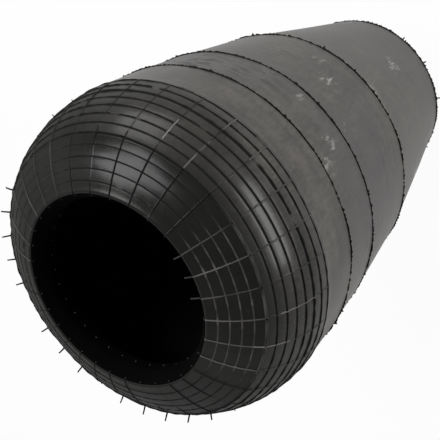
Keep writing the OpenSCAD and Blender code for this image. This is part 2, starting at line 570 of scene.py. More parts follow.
class MaterialSheet(NodeSheet):
    """The nodes of one material, with its Principled shader."""

    def __init__(self, name: str, carried: bool = True) -> None:
        """Starts a material.

        Args:
            name: The material's name.
            carried: True for a mesh that carries its rest place, False for a CAD solid.
        """
        self.material = bpy.data.materials.new(name)
        self.material.use_nodes = True
        super().__init__(self.material.node_tree)
        self.shader = self.tree.nodes["Principled BSDF"]
        self.carried = carried

    @property
    def place(self) -> Socket:
        """Reads coordinates that stay on the rubber as it bends.

        Returns:
            The coordinates, in metres.
        """
        if self.carried:
            return self.add("Attribute", "Vector", {}, attribute_name="rest_place")
        return self.add("TexCoord", "Object", {})

    def mark(self, mark: Mark) -> Socket:
        """Reads a surface mark of the mesh."""
        return self.add("Attribute", "Fac", {}, attribute_name=mark.value)

    def round_place(self, turn: float, across: float) -> Socket:
        """Makes coordinates that change slowly round the axis and fast up the dome.

        Args:
            turn: Scale round the axis.
            across: Scale up the dome.

        Returns:
            The new coordinates.
        """
        x, y, z = (self.add("SeparateXYZ", axis, {"Vector": self.place}) for axis in "XYZ")
        square = self.math("ADD", self.math("MULTIPLY", x, x), self.math("MULTIPLY", y, y))
        climb = self.math("SUBTRACT", z, self.math("SQRT", square, 0.0))
        scaled = zip("XYZ", (x, y, climb), (turn, turn, across))
        inputs = {axis: self.math("MULTIPLY", value, scale) for axis, value, scale in scaled}
        return self.add("CombineXYZ", "Vector", inputs)

    def bump(self, height: Socket, distance: float, strength: float = 1.0) -> None:
        """Adds a bump, on top of the one that is already there.

        Args:
            height: The bump's shape, from 0 to 1.
            distance: Its depth, in mm.
            strength: How much of it shows.
        """
        inputs = {"Height": height, "Distance": distance * MM, "Strength": strength}
        normal = self.shader.inputs["Normal"]
        if normal.is_linked:
            inputs["Normal"] = normal.links[0].from_socket
        self.link(self.add("Bump", "Normal", inputs), normal)

    def finish(self, colour: Socket, rough: Socket) -> Material:
        """Links what the finish came to.

        Args:
            colour: The colour.
            rough: The roughness.

        Returns:
            The finished material.
        """
        for name, value in (("Base Color", colour), ("Roughness", rough)):
            self.link(value, self.shader.inputs[name])
        return self.material


@dataclass(frozen=True)
class Pattern:
    """A noise pattern, with the span of it that is drawn out over 0 to 1.

    Attributes:
        scale: Grains per metre, or one number for each axis.
        detail: Number of finer layers.
        rough: Strength of each finer layer.
        low: Noise at which the pattern starts to show.
        high: Noise at which it shows in full.
    """

    scale: float | Triple
    detail: float
    rough: float = 0.55
    low: float = 0.0
    high: float = 1.0

    def raw(self, sheet: MaterialSheet) -> Socket:
        """Adds the plain noise.

        Args:
            sheet: The material's nodes.

        Returns:
            Noise from 0 to 1.
        """
        if isinstance(self.scale, tuple):
            inputs = {"Vector": sheet.place, "Scale": self.scale}
            place = sheet.add("Mapping", "Vector", inputs)
            return sheet.noise(place, 1.0, self.detail, self.rough)
        return sheet.noise(sheet.place, self.scale, self.detail, self.rough)

    def drawn(self, sheet: MaterialSheet) -> Socket:
        """Adds the noise and draws it out."""
        return sheet.ramp(self.raw(sheet), self.low, self.high)


@dataclass(frozen=True)
class MouldedRubber:
    """Rubber as it comes from the mould: mottled, a little dusty, and darker on its ridges, partly
    as painted shade of their shadows.

    Attributes:
        name: The material's name.
        clean: Colour of clean rubber.
        dusty: Colour under the film of release powder.
        ridge: Colour of ribs, rings and flash; on rings and ribs it is partly cleaner rubber and
            partly painted shade of the shadow they cast.
        scuff: Colour of pale rubbed marks.
        cool: Colour of the slowly changing tint.
        pale_ridge: Colour of the ridges that are torn, and of those painted pale as a highlight on
            shaded flanks.
        powdered: Clean and dusty colours where the mesh says that powder lies.
        gloss: Roughness where clean, and where dusty.
        dulled: What full dullness adds to the roughness.
        waviness: Depth of the slow unevenness, in mm.
        grain: Depth of the fine grain, in mm.
        streaks: Depth of the fine streaks that run round the axis, in mm.
        scuffing: How much of it is rubbed, from 0 to 1.
        shine: The shader's specular level.
        brushed: True where the mesh's paleness goes below zero, for dark brush strokes.
        carried: True for a mesh that carries its rest place.
        film: What thins the powder, each with its least and most: slow clouds, wipes round the
            sleeve, wipes along it, and smudges.
        specks: Fine specks in the powder.
        speck_depth: How far the specks change the powder.
        tint: Where the cool colour shows.
        tint_share: How much of it shows there.
        strokes: Dark strokes that a brush left round the sleeve.
        patches: Where rubbed marks gather by themselves.
        rubs: The rubbed marks.
        rub_gain: How much paleness helps the marks to show.
        waves: Shape of the slow unevenness.
        grains: Shape of the fine grain.
        streak_scale: Scale of the streaks round the axis and up the dome.
    """

    name: str
    clean: Colour
    dusty: Colour
    ridge: Colour
    scuff: Colour = (0.42, 0.41, 0.39)
    cool: Colour = (0.07, 0.07, 0.078)
    pale_ridge: Colour = (0.24, 0.23, 0.22)
    powdered: tuple[Colour, Colour] | None = None
    gloss: Pair = (0.42, 0.62)
    dulled: float = 0.35
    waviness: float = 0.25
    grain: float = 0.05
    streaks: float = 0.0
    scuffing: float = 0.3
    shine: float = 0.13
    brushed: bool = False
    carried: bool = True
    film: tuple[tuple[Pattern, float, float], ...] = (
        (Pattern(13, 6, 0.65, 0.34, 0.64), 0.62, 1.0),
        (Pattern((12, 12, 90), 5, 0.65, 0.3, 0.68), 0.55, 1.0),
        (Pattern((60, 60, 10), 5, 0.65, 0.3, 0.7), 0.65, 1.0),
        (Pattern(45, 5, 0.7, 0.3, 0.7), 0.72, 1.12),
    )
    specks: Pattern = Pattern((300, 300, 95), 5, 0.72)
    speck_depth: float = 0.62
    tint: Pattern = Pattern(9, 3, 0.5, 0.42, 0.6)
    tint_share: float = 0.4
    strokes: Pattern = Pattern((55, 55, 210), 4, 0.7, 0.48, 0.58)
    patches: Pattern = Pattern(19, 3, 0.5, 0.62, 0.74)
    rubs: Pattern = Pattern((200, 200, 70), 5, 0.75, 0.54, 0.7)
    rub_gain: float = 0.13
    waves: Pattern = Pattern(60, 4, 0.5)
    grains: Pattern = Pattern(1400, 3, 0.6)
    streak_scale: Pair = (14, 330)

    def material(self) -> Material:
        """Builds the material.

        Returns:
            The finished material.
        """
        sheet = MaterialSheet(self.name, self.carried)
        film = self._film(sheet)
        colour, rough = sheet.mix(film, self.clean, self.dusty), sheet.span(film, *self.gloss)
        if self.powdered:
            colour = sheet.mix(sheet.mark(Mark.DUST), colour, sheet.mix(film, *self.powdered))
            dull = sheet.math("MULTIPLY", sheet.mark(Mark.DULL), self.dulled)
            rough = sheet.math("ADD", rough, dull)
        if self.scuffing > 0:
            colour = self._handled(sheet, colour)
        if self.carried:
            # Dark ridges: partly cleaner rubber, partly painted shade of their shadows. Pale
            # ridges: torn ones, and painted highlights.
            ridge = sheet.mix(sheet.mark(Mark.PALE), self.ridge, self.pale_ridge)
            colour = sheet.mix(sheet.mark(Mark.RIDGE), colour, ridge)
        sheet.bump(self.waves.raw(sheet), self.waviness, 0.8)
        sheet.bump(self.grains.raw(sheet), self.grain, 0.7)
        if self.streaks > 0:
            streaks = sheet.noise(sheet.round_place(*self.streak_scale), 1.0, 3, 0.6)
            sheet.bump(streaks, self.streaks)
        sheet.shader.inputs["Specular IOR Level"].default_value = self.shine
        return sheet.finish(colour, rough)

    def _film(self, sheet: MaterialSheet) -> Socket:
        """Finds how dusty each place is.

        Args:
            sheet: The material's nodes.

        Returns:
            The film, from about 0 to 1.
        """
        film = 1.0
        for pattern, least, most in self.film:
            film = sheet.math("MULTIPLY", film, sheet.span(pattern.drawn(sheet), least, most))
        specks = sheet.span(self.specks.raw(sheet), -self.speck_depth, self.speck_depth)
        return sheet.math("ADD", film, specks)

    def _handled(self, sheet: MaterialSheet, colour: Socket) -> Socket:
        """Adds the tint, the brush strokes and the pale rubbed marks.

        Args:
            sheet: The material's nodes.
            colour: The colour so far.

        Returns:
            The colour with its traces of handling.
        """
        tint = sheet.math("MULTIPLY", self.tint.drawn(sheet), self.tint_share)
        colour = sheet.mix(tint, colour, self.cool)
        if self.brushed:
            amount = sheet.math("MULTIPLY", sheet.mark(Mark.PALE), -1.0)
            amount = sheet.math("MAXIMUM", amount, 0.0)
            strokes = sheet.math("MULTIPLY", amount, self.strokes.drawn(sheet))
            colour = sheet.mix(strokes, colour, self.ridge)
        patch, rub = self.patches.drawn(sheet), self.rubs.raw(sheet)
        if self.carried:
            # On the shoulder the paleness holds painted highlights too, so pale rubbed marks also
            # gather there.
            pale = sheet.mark(Mark.PALE)
            patch = sheet.math("MAXIMUM", sheet.math("MULTIPLY", patch, 0.5), pale)
            rub = sheet.math("ADD", rub, sheet.math("MULTIPLY", pale, self.rub_gain))
        marks = sheet.math("MULTIPLY", patch, sheet.ramp(rub, self.rubs.low, self.rubs.high))
        return sheet.mix(sheet.math("MULTIPLY", marks, self.scuffing), colour, self.scuff)


@dataclass(frozen=True)
class RubberisedCord:
    """Calendered cord ply: fine parallel cords under a thin rubber skin.

    Attributes:
        name: The material's name.
        skin: Colour of the rubber skin.
        cord: Colour of the cords that show through.
        cord_scale: Scale of the wave that stands for the cords.
        cord_relief: How far the cords stand out, in mm.
        gloss: Least and most roughness.
    """

    name: str = "rubberised cord ply"
    skin: Colour = (0.05, 0.045, 0.038)
    cord: Colour = (0.2, 0.17, 0.12)
    cord_scale: float = 45.0
    cord_relief: float = 0.3
    gloss: Pair = (0.6, 0.85)

    def material(self) -> Material:
        """Builds the material.

        Returns:
            The finished material.
        """
        sheet = MaterialSheet(self.name)
        inputs = {"Vector": sheet.place, "Scale": self.cord_scale, "Distortion": 0.4}
        wave = sheet.add("TexWave", "Fac", inputs, bands_direction="DIAGONAL")
        colour = sheet.mix(sheet.math("MULTIPLY", wave, 0.7), self.skin, self.cord)
        sheet.bump(wave, self.cord_relief)
        return sheet.finish(colour, sheet.span(sheet.noise(sheet.place, 60, 4), *self.gloss))


@dataclass(frozen=True)
class BeadWire:
    """Drawn bead wire with a thin brassy coat.

    Attributes:
        name: The material's name.
        bright: Colour of the clean coat.
        dull: Colour of the stained coat.
        stain: Where the coat is stained.
        scratches: Fine lines from drawing the wire.
        scratch_depth: Their depth, in mm.
        gloss: Roughness where bright, and where stained.
    """

    name: str = "coated bead wire"
    bright: Colour = (0.66, 0.56, 0.4)
    dull: Colour = (0.38, 0.33, 0.27)
    stain: Pattern = Pattern(90, 5, low=0.35, high=0.7)
    scratches: Pattern = Pattern((60, 60, 1800), 3)
    scratch_depth: float = 0.05
    gloss: Pair = (0.3, 0.5)

    def material(self) -> Material:
        """Builds the material.

        Returns:
            The finished material.
        """
        sheet = MaterialSheet(self.name, carried=False)
        stain = self.stain.drawn(sheet)
        sheet.bump(self.scratches.raw(sheet), self.scratch_depth)
        sheet.shader.inputs["Metallic"].default_value = 1.0
        rough = sheet.span(stain, *self.gloss)
        return sheet.finish(sheet.mix(stain, self.bright, self.dull), rough)


class Finishes:
    """The materials of this bellows, each built once."""

    SHELF_SHINES = (0.155, 0.12, 0.09, 0.06)

    def __init__(self) -> None:
        """Builds every material."""
        body = MouldedRubber(
            "dusty body rubber", clean=(0.035, 0.034, 0.034), dusty=(0.112, 0.104, 0.092),
            ridge=grey(0.01), gloss=(0.38, 0.54), cool=(0.067, 0.063, 0.068), shine=0.17,
            scuffing=0.9, brushed=True,
        )
        crown = MouldedRubber(
            "crown rubber", clean=(0.004, 0.004, 0.003), dusty=(0.011, 0.011, 0.008),
            ridge=grey(0.004), powdered=(body.clean, body.dusty), streaks=0.05,
            gloss=(0.17, 0.28), cool=(0.009, 0.008, 0.008), shine=0.19, waviness=0.12, grain=0.01,
        )
        # The face: a darker copy of the crown rubber, whose darkening is painted shade.
        face = replace(
            crown, name="face rubber", clean=grey(0.001), dusty=(0.005, 0.005, 0.004),
            gloss=(0.17, 0.29), cool=(0.005, 0.005, 0.004), shine=0.115,
        )
        # Rings and ribs: near-black, partly cleaner rubber and partly painted shade of the shadow
        # each ridge casts.
        ridge = MouldedRubber(
            "ridge rubber", clean=grey(0.006), dusty=(0.015, 0.015, 0.014), ridge=grey(0.008),
            gloss=(0.5, 0.65), shine=0.02, scuffing=0.0,
        )
        flash = replace(
            ridge, name="torn flash", clean=grey(0.01), dusty=grey(0.02), gloss=(0.5, 0.7),
            shine=0.03,
        )
        hair = MouldedRubber(
            "vent hair rubber", clean=grey(0.012), dusty=grey(0.03), ridge=grey(0.03),
            gloss=(0.4, 0.55), scuffing=0.0,
        )
        dark_hair = replace(
            hair, name="outer vent hair rubber", clean=grey(0.002), dusty=grey(0.006),
            ridge=grey(0.006), gloss=(0.5, 0.7), shine=0.02,
        )
        # Toe strips: near-black, darker than the rubber itself, as painted shade of the dark bores.
        toe = replace(
            hair, name="toe strip rubber", clean=grey(0.001), dusty=grey(0.002), ridge=grey(0.12),
            gloss=(0.75, 0.9), shine=0.01,
        )
        # Liner: near-black, partly its own black rubber and partly painted shade of the sleeve's
        # dark inside.
        liner = replace(
            hair, name="liner rubber", clean=grey(0.004), dusty=grey(0.008), ridge=grey(0.02),
            gloss=(0.7, 0.85), shine=0.04,
        )
        wrap = MouldedRubber(
            "core wrap rubber", clean=grey(0.03), dusty=(0.06, 0.058, 0.055), ridge=grey(0.02),
            scuffing=0.0, carried=False,
        )
        filler = replace(
            wrap, name="bead filler rubber", clean=grey(0.02), dusty=(0.04, 0.039, 0.038),
        )
        self.body, self.shoulder = body.material(), crown.material()
        self.shaded = [
            replace(crown, name=f"shelf side rubber {step + 1}", shine=shine).material()
            for step, shine in enumerate(self.SHELF_SHINES)
        ]
        self.face, self.ridge, self.flash = face.material(), ridge.material(), flash.material()
        self.hair, self.dark_hair, self.toe = hair.material(), dark_hair.material(), toe.material()
        self.liner, self.wrap, self.filler = liner.material(), wrap.material(), filler.material()
        self.cord, self.wire = RubberisedCord().material(), BeadWire().material()


def make_mesh(
    name: str, points: Array, faces: Array | list, material: Material,
    marks: dict[Mark, Array] | None = None, sharp_above: float = 40.0,
) -> Piece:
    """Makes an object whose mesh carries its rest place and its surface marks.

    Args:
        name: The piece's name.
        points: Vertices, in metres.
        faces: Faces as lists of vertex numbers.
        material: Its finish.
        marks: Values at each vertex, for the marks that the piece has.
        sharp_above: Edges that turn more than this many degrees stay sharp.

    Returns:
        The new object.
    """
    mesh = bpy.data.meshes.new(name)
    mesh.from_pydata(points.tolist(), [], faces.tolist() if isinstance(faces, Array) else faces)
    place = mesh.attributes.new("rest_place", "FLOAT_VECTOR", "POINT")
    place.data.foreach_set("vector", points.astype(np.float32).ravel())
    for mark in Mark:
        values = (marks or {}).get(mark, np.zeros(len(points)))
        attribute = mesh.attributes.new(mark.value, "FLOAT", "POINT")
        attribute.data.foreach_set("value", values.astype(np.float32).ravel())
    mesh.shade_smooth()
    mesh.set_sharp_from_angle(angle=math.radians(sharp_above))
    mesh.materials.append(material)
    mesh.update()
    piece = bpy.data.objects.new(name, mesh)
    bpy.context.scene.collection.objects.link(piece)
    return piece


def runs_left(section: Array) -> bool:
    """Whether a closed section runs anticlockwise."""
    r, z = section[:, 0], section[:, 1]
    return bool(np.sum(r * np.roll(z, -1) - np.roll(r, -1) * z) > 0)


@dataclass
class Lathing:
    """A closed section turned round Z, whose surface is free to swell.

    Attributes:
        section: Section points in order round the section, in mm.
        columns: Number of columns, where the columns are even.
        angles: Angles by row and column, where they aren't.
        radius: Radii by row and column, in mm.
        height: Heights by row and column, in mm.
    """

    section: Array
    columns: int = 240
    angles: Array | None = None
    radius: Array = field(init=False)
    height: Array = field(init=False)

    def __post_init__(self) -> None:
        """Sets even columns where none are given, and turns the section."""
        if self.angles is None:
            even = np.linspace(0, math.tau, self.columns, endpoint=False)
            self.angles = np.tile(even, (len(self.section), 1))
        self.columns = self.angles.shape[1]
        self.radius = np.repeat(self.section[:, :1], self.columns, axis=1)
        self.height = np.repeat(self.section[:, 1:], self.columns, axis=1)

    def normals(self) -> Array:
        """Finds the section's outward normals from each point's neighbours.

        Returns:
            One unit normal for each row.
        """
        step = np.roll(self.section, -1, axis=0) - np.roll(self.section, 1, axis=0)
        normals = np.stack([step[:, 1], -step[:, 0]], axis=1)
        normals /= np.maximum(np.linalg.norm(normals, axis=1, keepdims=True), 1e-9)
        return normals if runs_left(self.section) else -normals

    def swell(self, way: Array | Pair, amount: Array) -> None:
        """Moves the surface in the plane of the section.

        Args:
            way: One direction for each row, or one for all.
            amount: Distance by row and column, or by column, in mm.
        """
        ways = np.broadcast_to(np.asarray(way), self.section.shape)
        self.radius = self.radius + ways[:, :1] * amount
        self.height = self.height + ways[:, 1:] * amount

    def build(
        self, name: str, material: Material,
        marks: dict[Mark, Array] | None = None, sharp_above: float = 40.0,
    ) -> Piece:
        """Makes the object.

        Args:
            name: The piece's name.
            material: Its finish.
            marks: Values by row and column, for the marks that the piece has.
            sharp_above: Edges that turn more than this many degrees stay sharp.

        Returns:
            The new object.
        """
        rows, cols = self.angles.shape
        x, y = self.radius * np.cos(self.angles), self.radius * np.sin(self.angles)
        points = np.stack([x, y, self.height], axis=-1).reshape(-1, 3) * MM
        i, j = np.meshgrid(np.arange(rows), np.arange(cols), indexing="ij")
        down, right = (i + 1) % rows, (j + 1) % cols
        quads = [i * cols + j, i * cols + right, down * cols + right, down * cols + j]
        faces = np.stack(quads[::-1] if runs_left(self.section) else quads, axis=-1).reshape(-1, 4)
        return make_mesh(name, points, faces, material, marks, sharp_above)


def across_rear(piece: Piece) -> None:
    """Bakes a piece's placement into its mesh."""
    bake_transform(piece)


def across_front(piece: Piece) -> None:
    """Bakes a piece's placement into its mesh."""
    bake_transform(piece)


def dress(piece: Piece, slot: Slot, *nodes: str) -> None:
    """Hides the CAD nodes that a piece stands for, and logs its number of faces.

    Args:
        piece: The piece.
        slot: Its material slot; not used.
        nodes: The CAD nodes that it replaces.
    """
    if nodes:
        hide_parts(*nodes)
    log.info("%s: %d faces", piece.name, len(piece.data.polygons))


@dataclass
class SubAssembly:
    """What every sub-assembly of new pieces works from.

    Attributes:
        outline: The sleeve's section.
        finishes: The materials.
    """

    outline: SleeveOutline
    finishes: Finishes


@dataclass(frozen=True)
class Side:
    """A side of the sleeve, which fades out towards its edges.

    Attributes:
        middle: Its middle round the axis, in degrees.
        half: Half of its width, in radians.
        fade: Width over which it fades, in radians.
    """

    middle: float
    half: float
    fade: float

    def share(self, angles: Array) -> Array:
        """How much each angle belongs to the side, from 0 to 1."""
        return smooth_step((self.half - apart(angles, math.radians(self.middle))) / self.fade)


@dataclass(frozen=True)
class Places:
    """Where the points of the shoulder's mesh lie, by row and column.

    Attributes:
        angles: Angles round the axis, in radians.
        along: Places along the outline, in mm.
        from_rib: Distance of each column from its rib, in half widths of a rib.
    """

    angles: Array
    along: Array
    from_rib: Array


@dataclass(frozen=True)
class ShoulderWearAndPaintedLight:
    """The powder, the dull places and the torn ribs of the shoulder, with painted shade and painted
    highlights.

    Attributes:
        belt_reach: How far the belt's powder reaches up, in mm.
        belt_fade: Run over which it thins out, in mm.
        belt_drift: How far its edge wanders, in mm.
        hazed_side: Where it reaches higher, and haze_gain how much, in mm.
        thin_belt_side: Where it reaches less high, and thin_belt_loss how much, in mm.
        film: Thickness of the crown's thin film, and film_drift how much that wanders.
        film_reach: How far the film reaches up, in mm, and film_wander how far its edge wanders.
        film_fade: Run over which it thins out, in mm.
        powder_side: Where it reaches higher, and powder_gain how much, in mm.
        crown_shade_side: Where the film is thinned as painted shade on the side away from the
            light, and crown_shade_share how much of it.
        shelf_side: The dull side that lay on the shelf.
        belt_dull: Dullness at the belt, which ends at dull_reach over a run of dull_fade, in mm.
        highlit_flanks: Shaded sides of the face whose rings and ribs are painted pale as a
            highlight, each with the paleness of its rings.
        torn_ribs: Angle in degrees, start and end in mm, and paleness of each torn stretch of rib.
        rib_reach: Half width round a rib's angle that counts as that rib, in radians.
        face_from: Place along the outline at which the flanks' painted highlight starts, and the
            run to full strength.
        patchy: Mean and swing of the paleness, which patchy_span limits.
        highlit_rib: Paleness of a rib on those flanks, painted as a highlight, on the crown, and
            what the face adds to it.
        torn_fade: Run over which a torn stretch starts and ends, in mm.
        torn_least: Least strength of a torn stretch.
    """

    belt_reach: float = 26.0
    belt_fade: float = 34.0
    belt_drift: float = 9.0
    hazed_side: Side = Side(275.0, 0.45, 0.35)
    haze_gain: float = 16.0
    thin_belt_side: Side = Side(345.0, 0.9, 0.4)
    thin_belt_loss: float = 14.0
    film: float = 0.4
    film_drift: float = 0.13
    film_reach: float = 60.0
    film_wander: float = 4.0
    film_fade: float = 26.0
    powder_side: Side = Side(312.0, math.radians(34.0), 0.4)
    powder_gain: float = 12.0
    crown_shade_side: Side = Side(345.0, 0.7, 0.4)
    crown_shade_share: float = 0.75
    shelf_side: Side = Side(95.0, math.radians(135.0), 0.6)
    belt_dull: float = 0.6
    dull_reach: float = 14.0
    dull_fade: float = 16.0
    highlit_flanks: tuple[tuple[Side, float], ...] = (
        (Side(232.0, math.radians(44.0), 0.3), 0.3), (Side(18.0, math.radians(46.0), 0.3), 0.08),
    )
    torn_ribs: tuple[tuple[float, float, float, float], ...] = (
        (300.6, 28.0, 51.0, 1.0), (288.4, 43.0, 60.0, 0.8), (227.3, 12.0, 50.0, 0.8),
        (215.4, 38.0, 70.0, 0.8), (288.4, -2.0, 18.0, 0.5), (276.1, -2.0, 22.0, 0.4),
        (263.9, -2.0, 26.0, 0.45), (251.6, -2.0, 24.0, 0.4),
    )
    rib_reach: float = 0.02
    face_from: Pair = (50.0, 16.0)
    patchy: Pair = (0.7, 0.5)
    patchy_span: Pair = (0.2, 1.2)
    highlit_rib: Pair = (0.1, 0.22)
    torn_fade: float = 3.0
    torn_least: float = 0.55

    def dust(self, places: Places) -> Array:
        """Finds how dusty the shoulder is: as the body at the belt, and clean on the face, with the
        film thinned on one side as painted shade.

        Args:
            places: The places of the mesh.

        Returns:
            Dust from 0 to 1.
        """
        angles, along = places.angles, places.along
        drift = RoundNoise(23, fastest=9).at(angles)
        reach = self.belt_reach + self.belt_drift * drift
        reach = reach + self.haze_gain * self.hazed_side.share(angles)
        reach = reach - self.thin_belt_loss * self.thin_belt_side.share(angles)
        belt = smooth_step((reach - along) / self.belt_fade)
        reach = self.film_reach + self.film_wander * drift
        reach = reach + self.powder_gain * self.powder_side.share(angles)
        film = self.film + self.film_drift * drift
        film = film * smooth_step((reach - along) / self.film_fade)
        # Painted shade: the film is thinned on one side, so that side of the crown shows darker.
        film = film * (1 - self.crown_shade_share * self.crown_shade_side.share(angles))
        return np.where(along < UNDER_BELT, 1.0, np.maximum(belt, film))

    def dullness(self, places: Places) -> Array:
        """Finds how dull the shoulder is: at the belt, and on the side that lay on the shelf.

        Args:
            places: The places of the mesh.

        Returns:
            Dullness from 0 to 1.
        """
        belt = self.belt_dull * smooth_step((self.dull_reach - places.along) / self.dull_fade)
        belt = np.where(places.along < UNDER_BELT, self.belt_dull, belt)
        return np.maximum(self.shelf_side.share(places.angles), belt)

    def paleness(self, places: Places) -> Array:
        """Finds how pale each ridge is: painted pale as a highlight on the face's shaded flanks,
        and torn along a few ribs.

        Args:
            places: The places of the mesh.

        Returns:
            Paleness from 0 to 1, by row and column.
        """
        angles, along, on_rib = places.angles, places.along, places.from_rib <= 1.06
        face = smooth_step((along - self.face_from[0]) / self.face_from[1])
        patchy = RoundNoise(17, waves=30, fastest=60).at(angles, along)
        patchy = np.clip(self.patchy[0] + self.patchy[1] * patchy, *self.patchy_span)
        pale = np.zeros_like(angles)
        # Painted highlight: the rings and ribs of the face's shaded flanks are made pale, as if
        # they caught the light.
        for side, rings in self.highlit_flanks:
            rib = self.highlit_rib[0] + self.highlit_rib[1] * face
            highlit = np.where(on_rib, rib, rings * face)
            pale = np.maximum(pale, side.share(angles) * patchy * highlit)
        for where, low, high, amount in self.torn_ribs:
            near = apart(angles, VENTS.nearest(where)) < self.rib_reach
            ends = smooth_step((along - low) / self.torn_fade)
            ends = ends * smooth_step((high - along) / self.torn_fade)
            torn = amount * near * on_rib * ends * np.clip(patchy, self.torn_least, 1.0)
            pale = np.maximum(pale, torn)
        return np.clip(pale, 0, 1)


@dataclass
class OuterCover(SubAssembly):
    """The moulded cover: ringed shoulder, mould joints, tapered body and rear rim.

    Attributes:
        wear_and_light: Powder and torn ribs of the shoulder, with its painted shade and painted
            highlights.
        ring_h: Height of a vent ring, and ring_w its width, in mm.
        rib_h: Height of a vent rib, and rib_w its width, in mm.
        ring_profile: Distances from a ring's middle in half widths, and the height at each.
        thick_ring: Number of the ring that is wider than its neighbours.
        nose: Rows over the lip, as distance past it and depth, in mm.
        bare_nose_rows: How many of them lie inside, where no ring or rib reaches.
        lip_rows: Distance before the lip of the first and last row of the face, and their number.
        lip_gap: Distance before the lip that is left to the nose, in mm.
        rib_profile: The same for a rib, with shares of its height.
        ring_foot: Distances in half widths over which a ring stops counting as a ridge.
        ring_wear: Mean and swing of the share of a ring's height that wearing leaves.
        rib_torn: Noise over which a rib passes from torn to whole, as its middle and run.
        torn_rib_h: Share of a rib's height that is left where it is torn.
        rib_fade: Place along the outline from which ribs show fully, and the run to it, in mm.
        rib_shown: Least and added darkness of a rib: on the crown, and where torn.
        rib_feet: Columns at a rib, in half widths from its middle.
        between_ribs: Number of columns between two ribs.
        pillow: How far the bands between the rings stand out, in mm.
        dull_side: Ribs at which the shelf side's finish starts and ends, in degrees.
        shelf_step: Width of each step of that finish, in degrees.
        body_columns: Number of columns of the plain stretches.
        skirt_rows: Rows from the belt to the first joint, waist_rows and foot_rows those below.
        heel: Steps of the rounded rear rim from its foot, in mm.
        scuffs: Angle in degrees, height and size in mm, and strength of each scuff on the body.
            Below zero the strength is that of dark brush strokes.
    """

    wear_and_light: ShoulderWearAndPaintedLight = ShoulderWearAndPaintedLight()
    ring_h: float = 0.85
    ring_w: float = 1.9
    rib_h: float = 0.65
    rib_w: float = 0.8
    ring_profile: tuple[tuple[float, ...], ...] = ((0.45, 1.0, 1.5, 2.0), (1.0, 0.0, -0.05, 0.0))
    rib_profile: tuple[tuple[float, ...], ...] = ((0.5, 1.0, 1.5), (1.0, 0.35, 0.0))
    ring_foot: Pair = (1.0, 1.6)
    ring_wear: Pair = (0.85, 0.35)
    rib_torn: Pair = (-0.75, 0.3)
    torn_rib_h: float = 0.25
    rib_fade: Pair = (52.0, 8.0)
    rib_shown: Pairs = ((0.4, 0.6), (0.35, 0.65))
    thick_ring: int = 2
    nose: Pairs = (
        (0, 2.2), (0.5, 1.5), (0.5, 0.9), (0.3, 0.45), (0, 0.1), (-0.7, -0.2), (-1.6, -0.3),
        (-2.6, -0.15),
    )
    bare_nose_rows: int = 4
    lip_rows: tuple[float, float, int] = (3.4, 7.5, 3)
    lip_gap: float = 3.0
    rib_feet: tuple[float, ...] = (-2.3, -1.5, -1.0, -0.5, 0.5, 1.0, 1.5, 2.3)
    between_ribs: int = 8
    pillow: float = 0.03
    dull_side: Pair = (324.0, 90.0)
    shelf_step: float = 3.0
    body_columns: int = 384
    skirt_rows: int = 11
    waist_rows: tuple[int, int] = (13, 21)
    foot_rows: int = 44
    heel: Pairs = ((-1.6, 1.2), (-2.6, 0.35), (-3.6, 0.0))
    scuffs: tuple[tuple[float, float, float, float], ...] = (
        (280, 315, 9, 0.8), (284, 192, 9, 0.8), (274, 74, 10, 0.7), (265, 255, 8, 0.7),
        (260, 272, 7, 1), (262, 272, 5, 0.9), (280, 304, 6, 0.6), (284, 242, 7, 0.4),
        (270, 145, 8, 0.5), (293, 173, 8, 0.5), (40, 210, 9, 0.8), (118, 120, 10, 0.7),
        (176, 250, 8, 0.8), (215, 90, 9, 0.6), (322, 263, 26, -1.2), (309, 258, 18, -1),
        (335, 253, 24, -1.1), (297, 248, 16, -0.6), (306, 196, 22, -0.4), (242, 180, 24, -0.35),
        (222, 232, 22, -0.45), (60, 130, 26, -0.9),
    )

    def build(self) -> None:
        """Builds the three pieces of the cover."""
        self.shoulder()
        self.waist()
        self.foot()

    def _ring(self, i: int) -> Pair:
        """Gives the size of a vent ring.

        Args:
            i: Its number, from the belt up.

        Returns:
            Its height and half width, in mm.
        """
        kind = Ring.FACE if i > self.outline.crown_ring else Ring.PLAIN
        kind = {self.thick_ring: Ring.THICK, self.outline.crown_ring: Ring.CROWN}.get(i, kind)
        tall, half = kind.value
        return tall * self.ring_h, half * self.ring_w

    def _stations(self) -> Array:
        """Picks the places along the shoulder at which the mesh has a row.

        Returns:
            Places from the lip to the belt, in mm.
        """
        o = self.outline
        first, last, count = self.lip_rows
        stations: list[float] = list(np.linspace(o.lip_m - first, o.lip_m - last, count))
        feet = self.ring_profile[0]
        for i in range(o.ring_count):
            half, centre = self._ring(i)[1], i * o.ring_pitch
            stations += [centre + half * k for k in feet]
            stations += [centre - half * k for k in feet if i or k <= 0.5]
            stations += [centre - o.ring_pitch * k for k in (0.4, 0.5, 0.6) if i]
        kept = {round(m, 4) for m in stations if 0 <= m < o.lip_m - self.lip_gap}
        return np.array(sorted(kept, reverse=True))

    def _rib_columns(self, radius: Array) -> tuple[Array, Array]:
        """Places the columns, which keep the ribs as wide at the lip as at the belt.

        Args:
            radius: The rows' radii, in mm.

        Returns:
            Angles by row and column, and each column's distance from its rib in half widths.
        """
        ribs = np.append(VENTS.angles(), VENTS.angles()[0] + math.tau)
        near = self.rib_w / 2 * np.array(self.rib_feet)
        edge = near[-1] / radius
        angles, offsets = [], []
        for rib, gap in zip(ribs, np.diff(ribs)):
            angles += [rib + d / radius for d in near]
            offsets += self.rib_feet
            for j in range(1, self.between_ribs + 1):
                share = j / (self.between_ribs + 1)
                angles.append(rib + edge + (gap - edge - edge) * share)
                offsets.append(math.inf)
        return np.stack(angles, axis=1), np.abs(np.array(offsets))

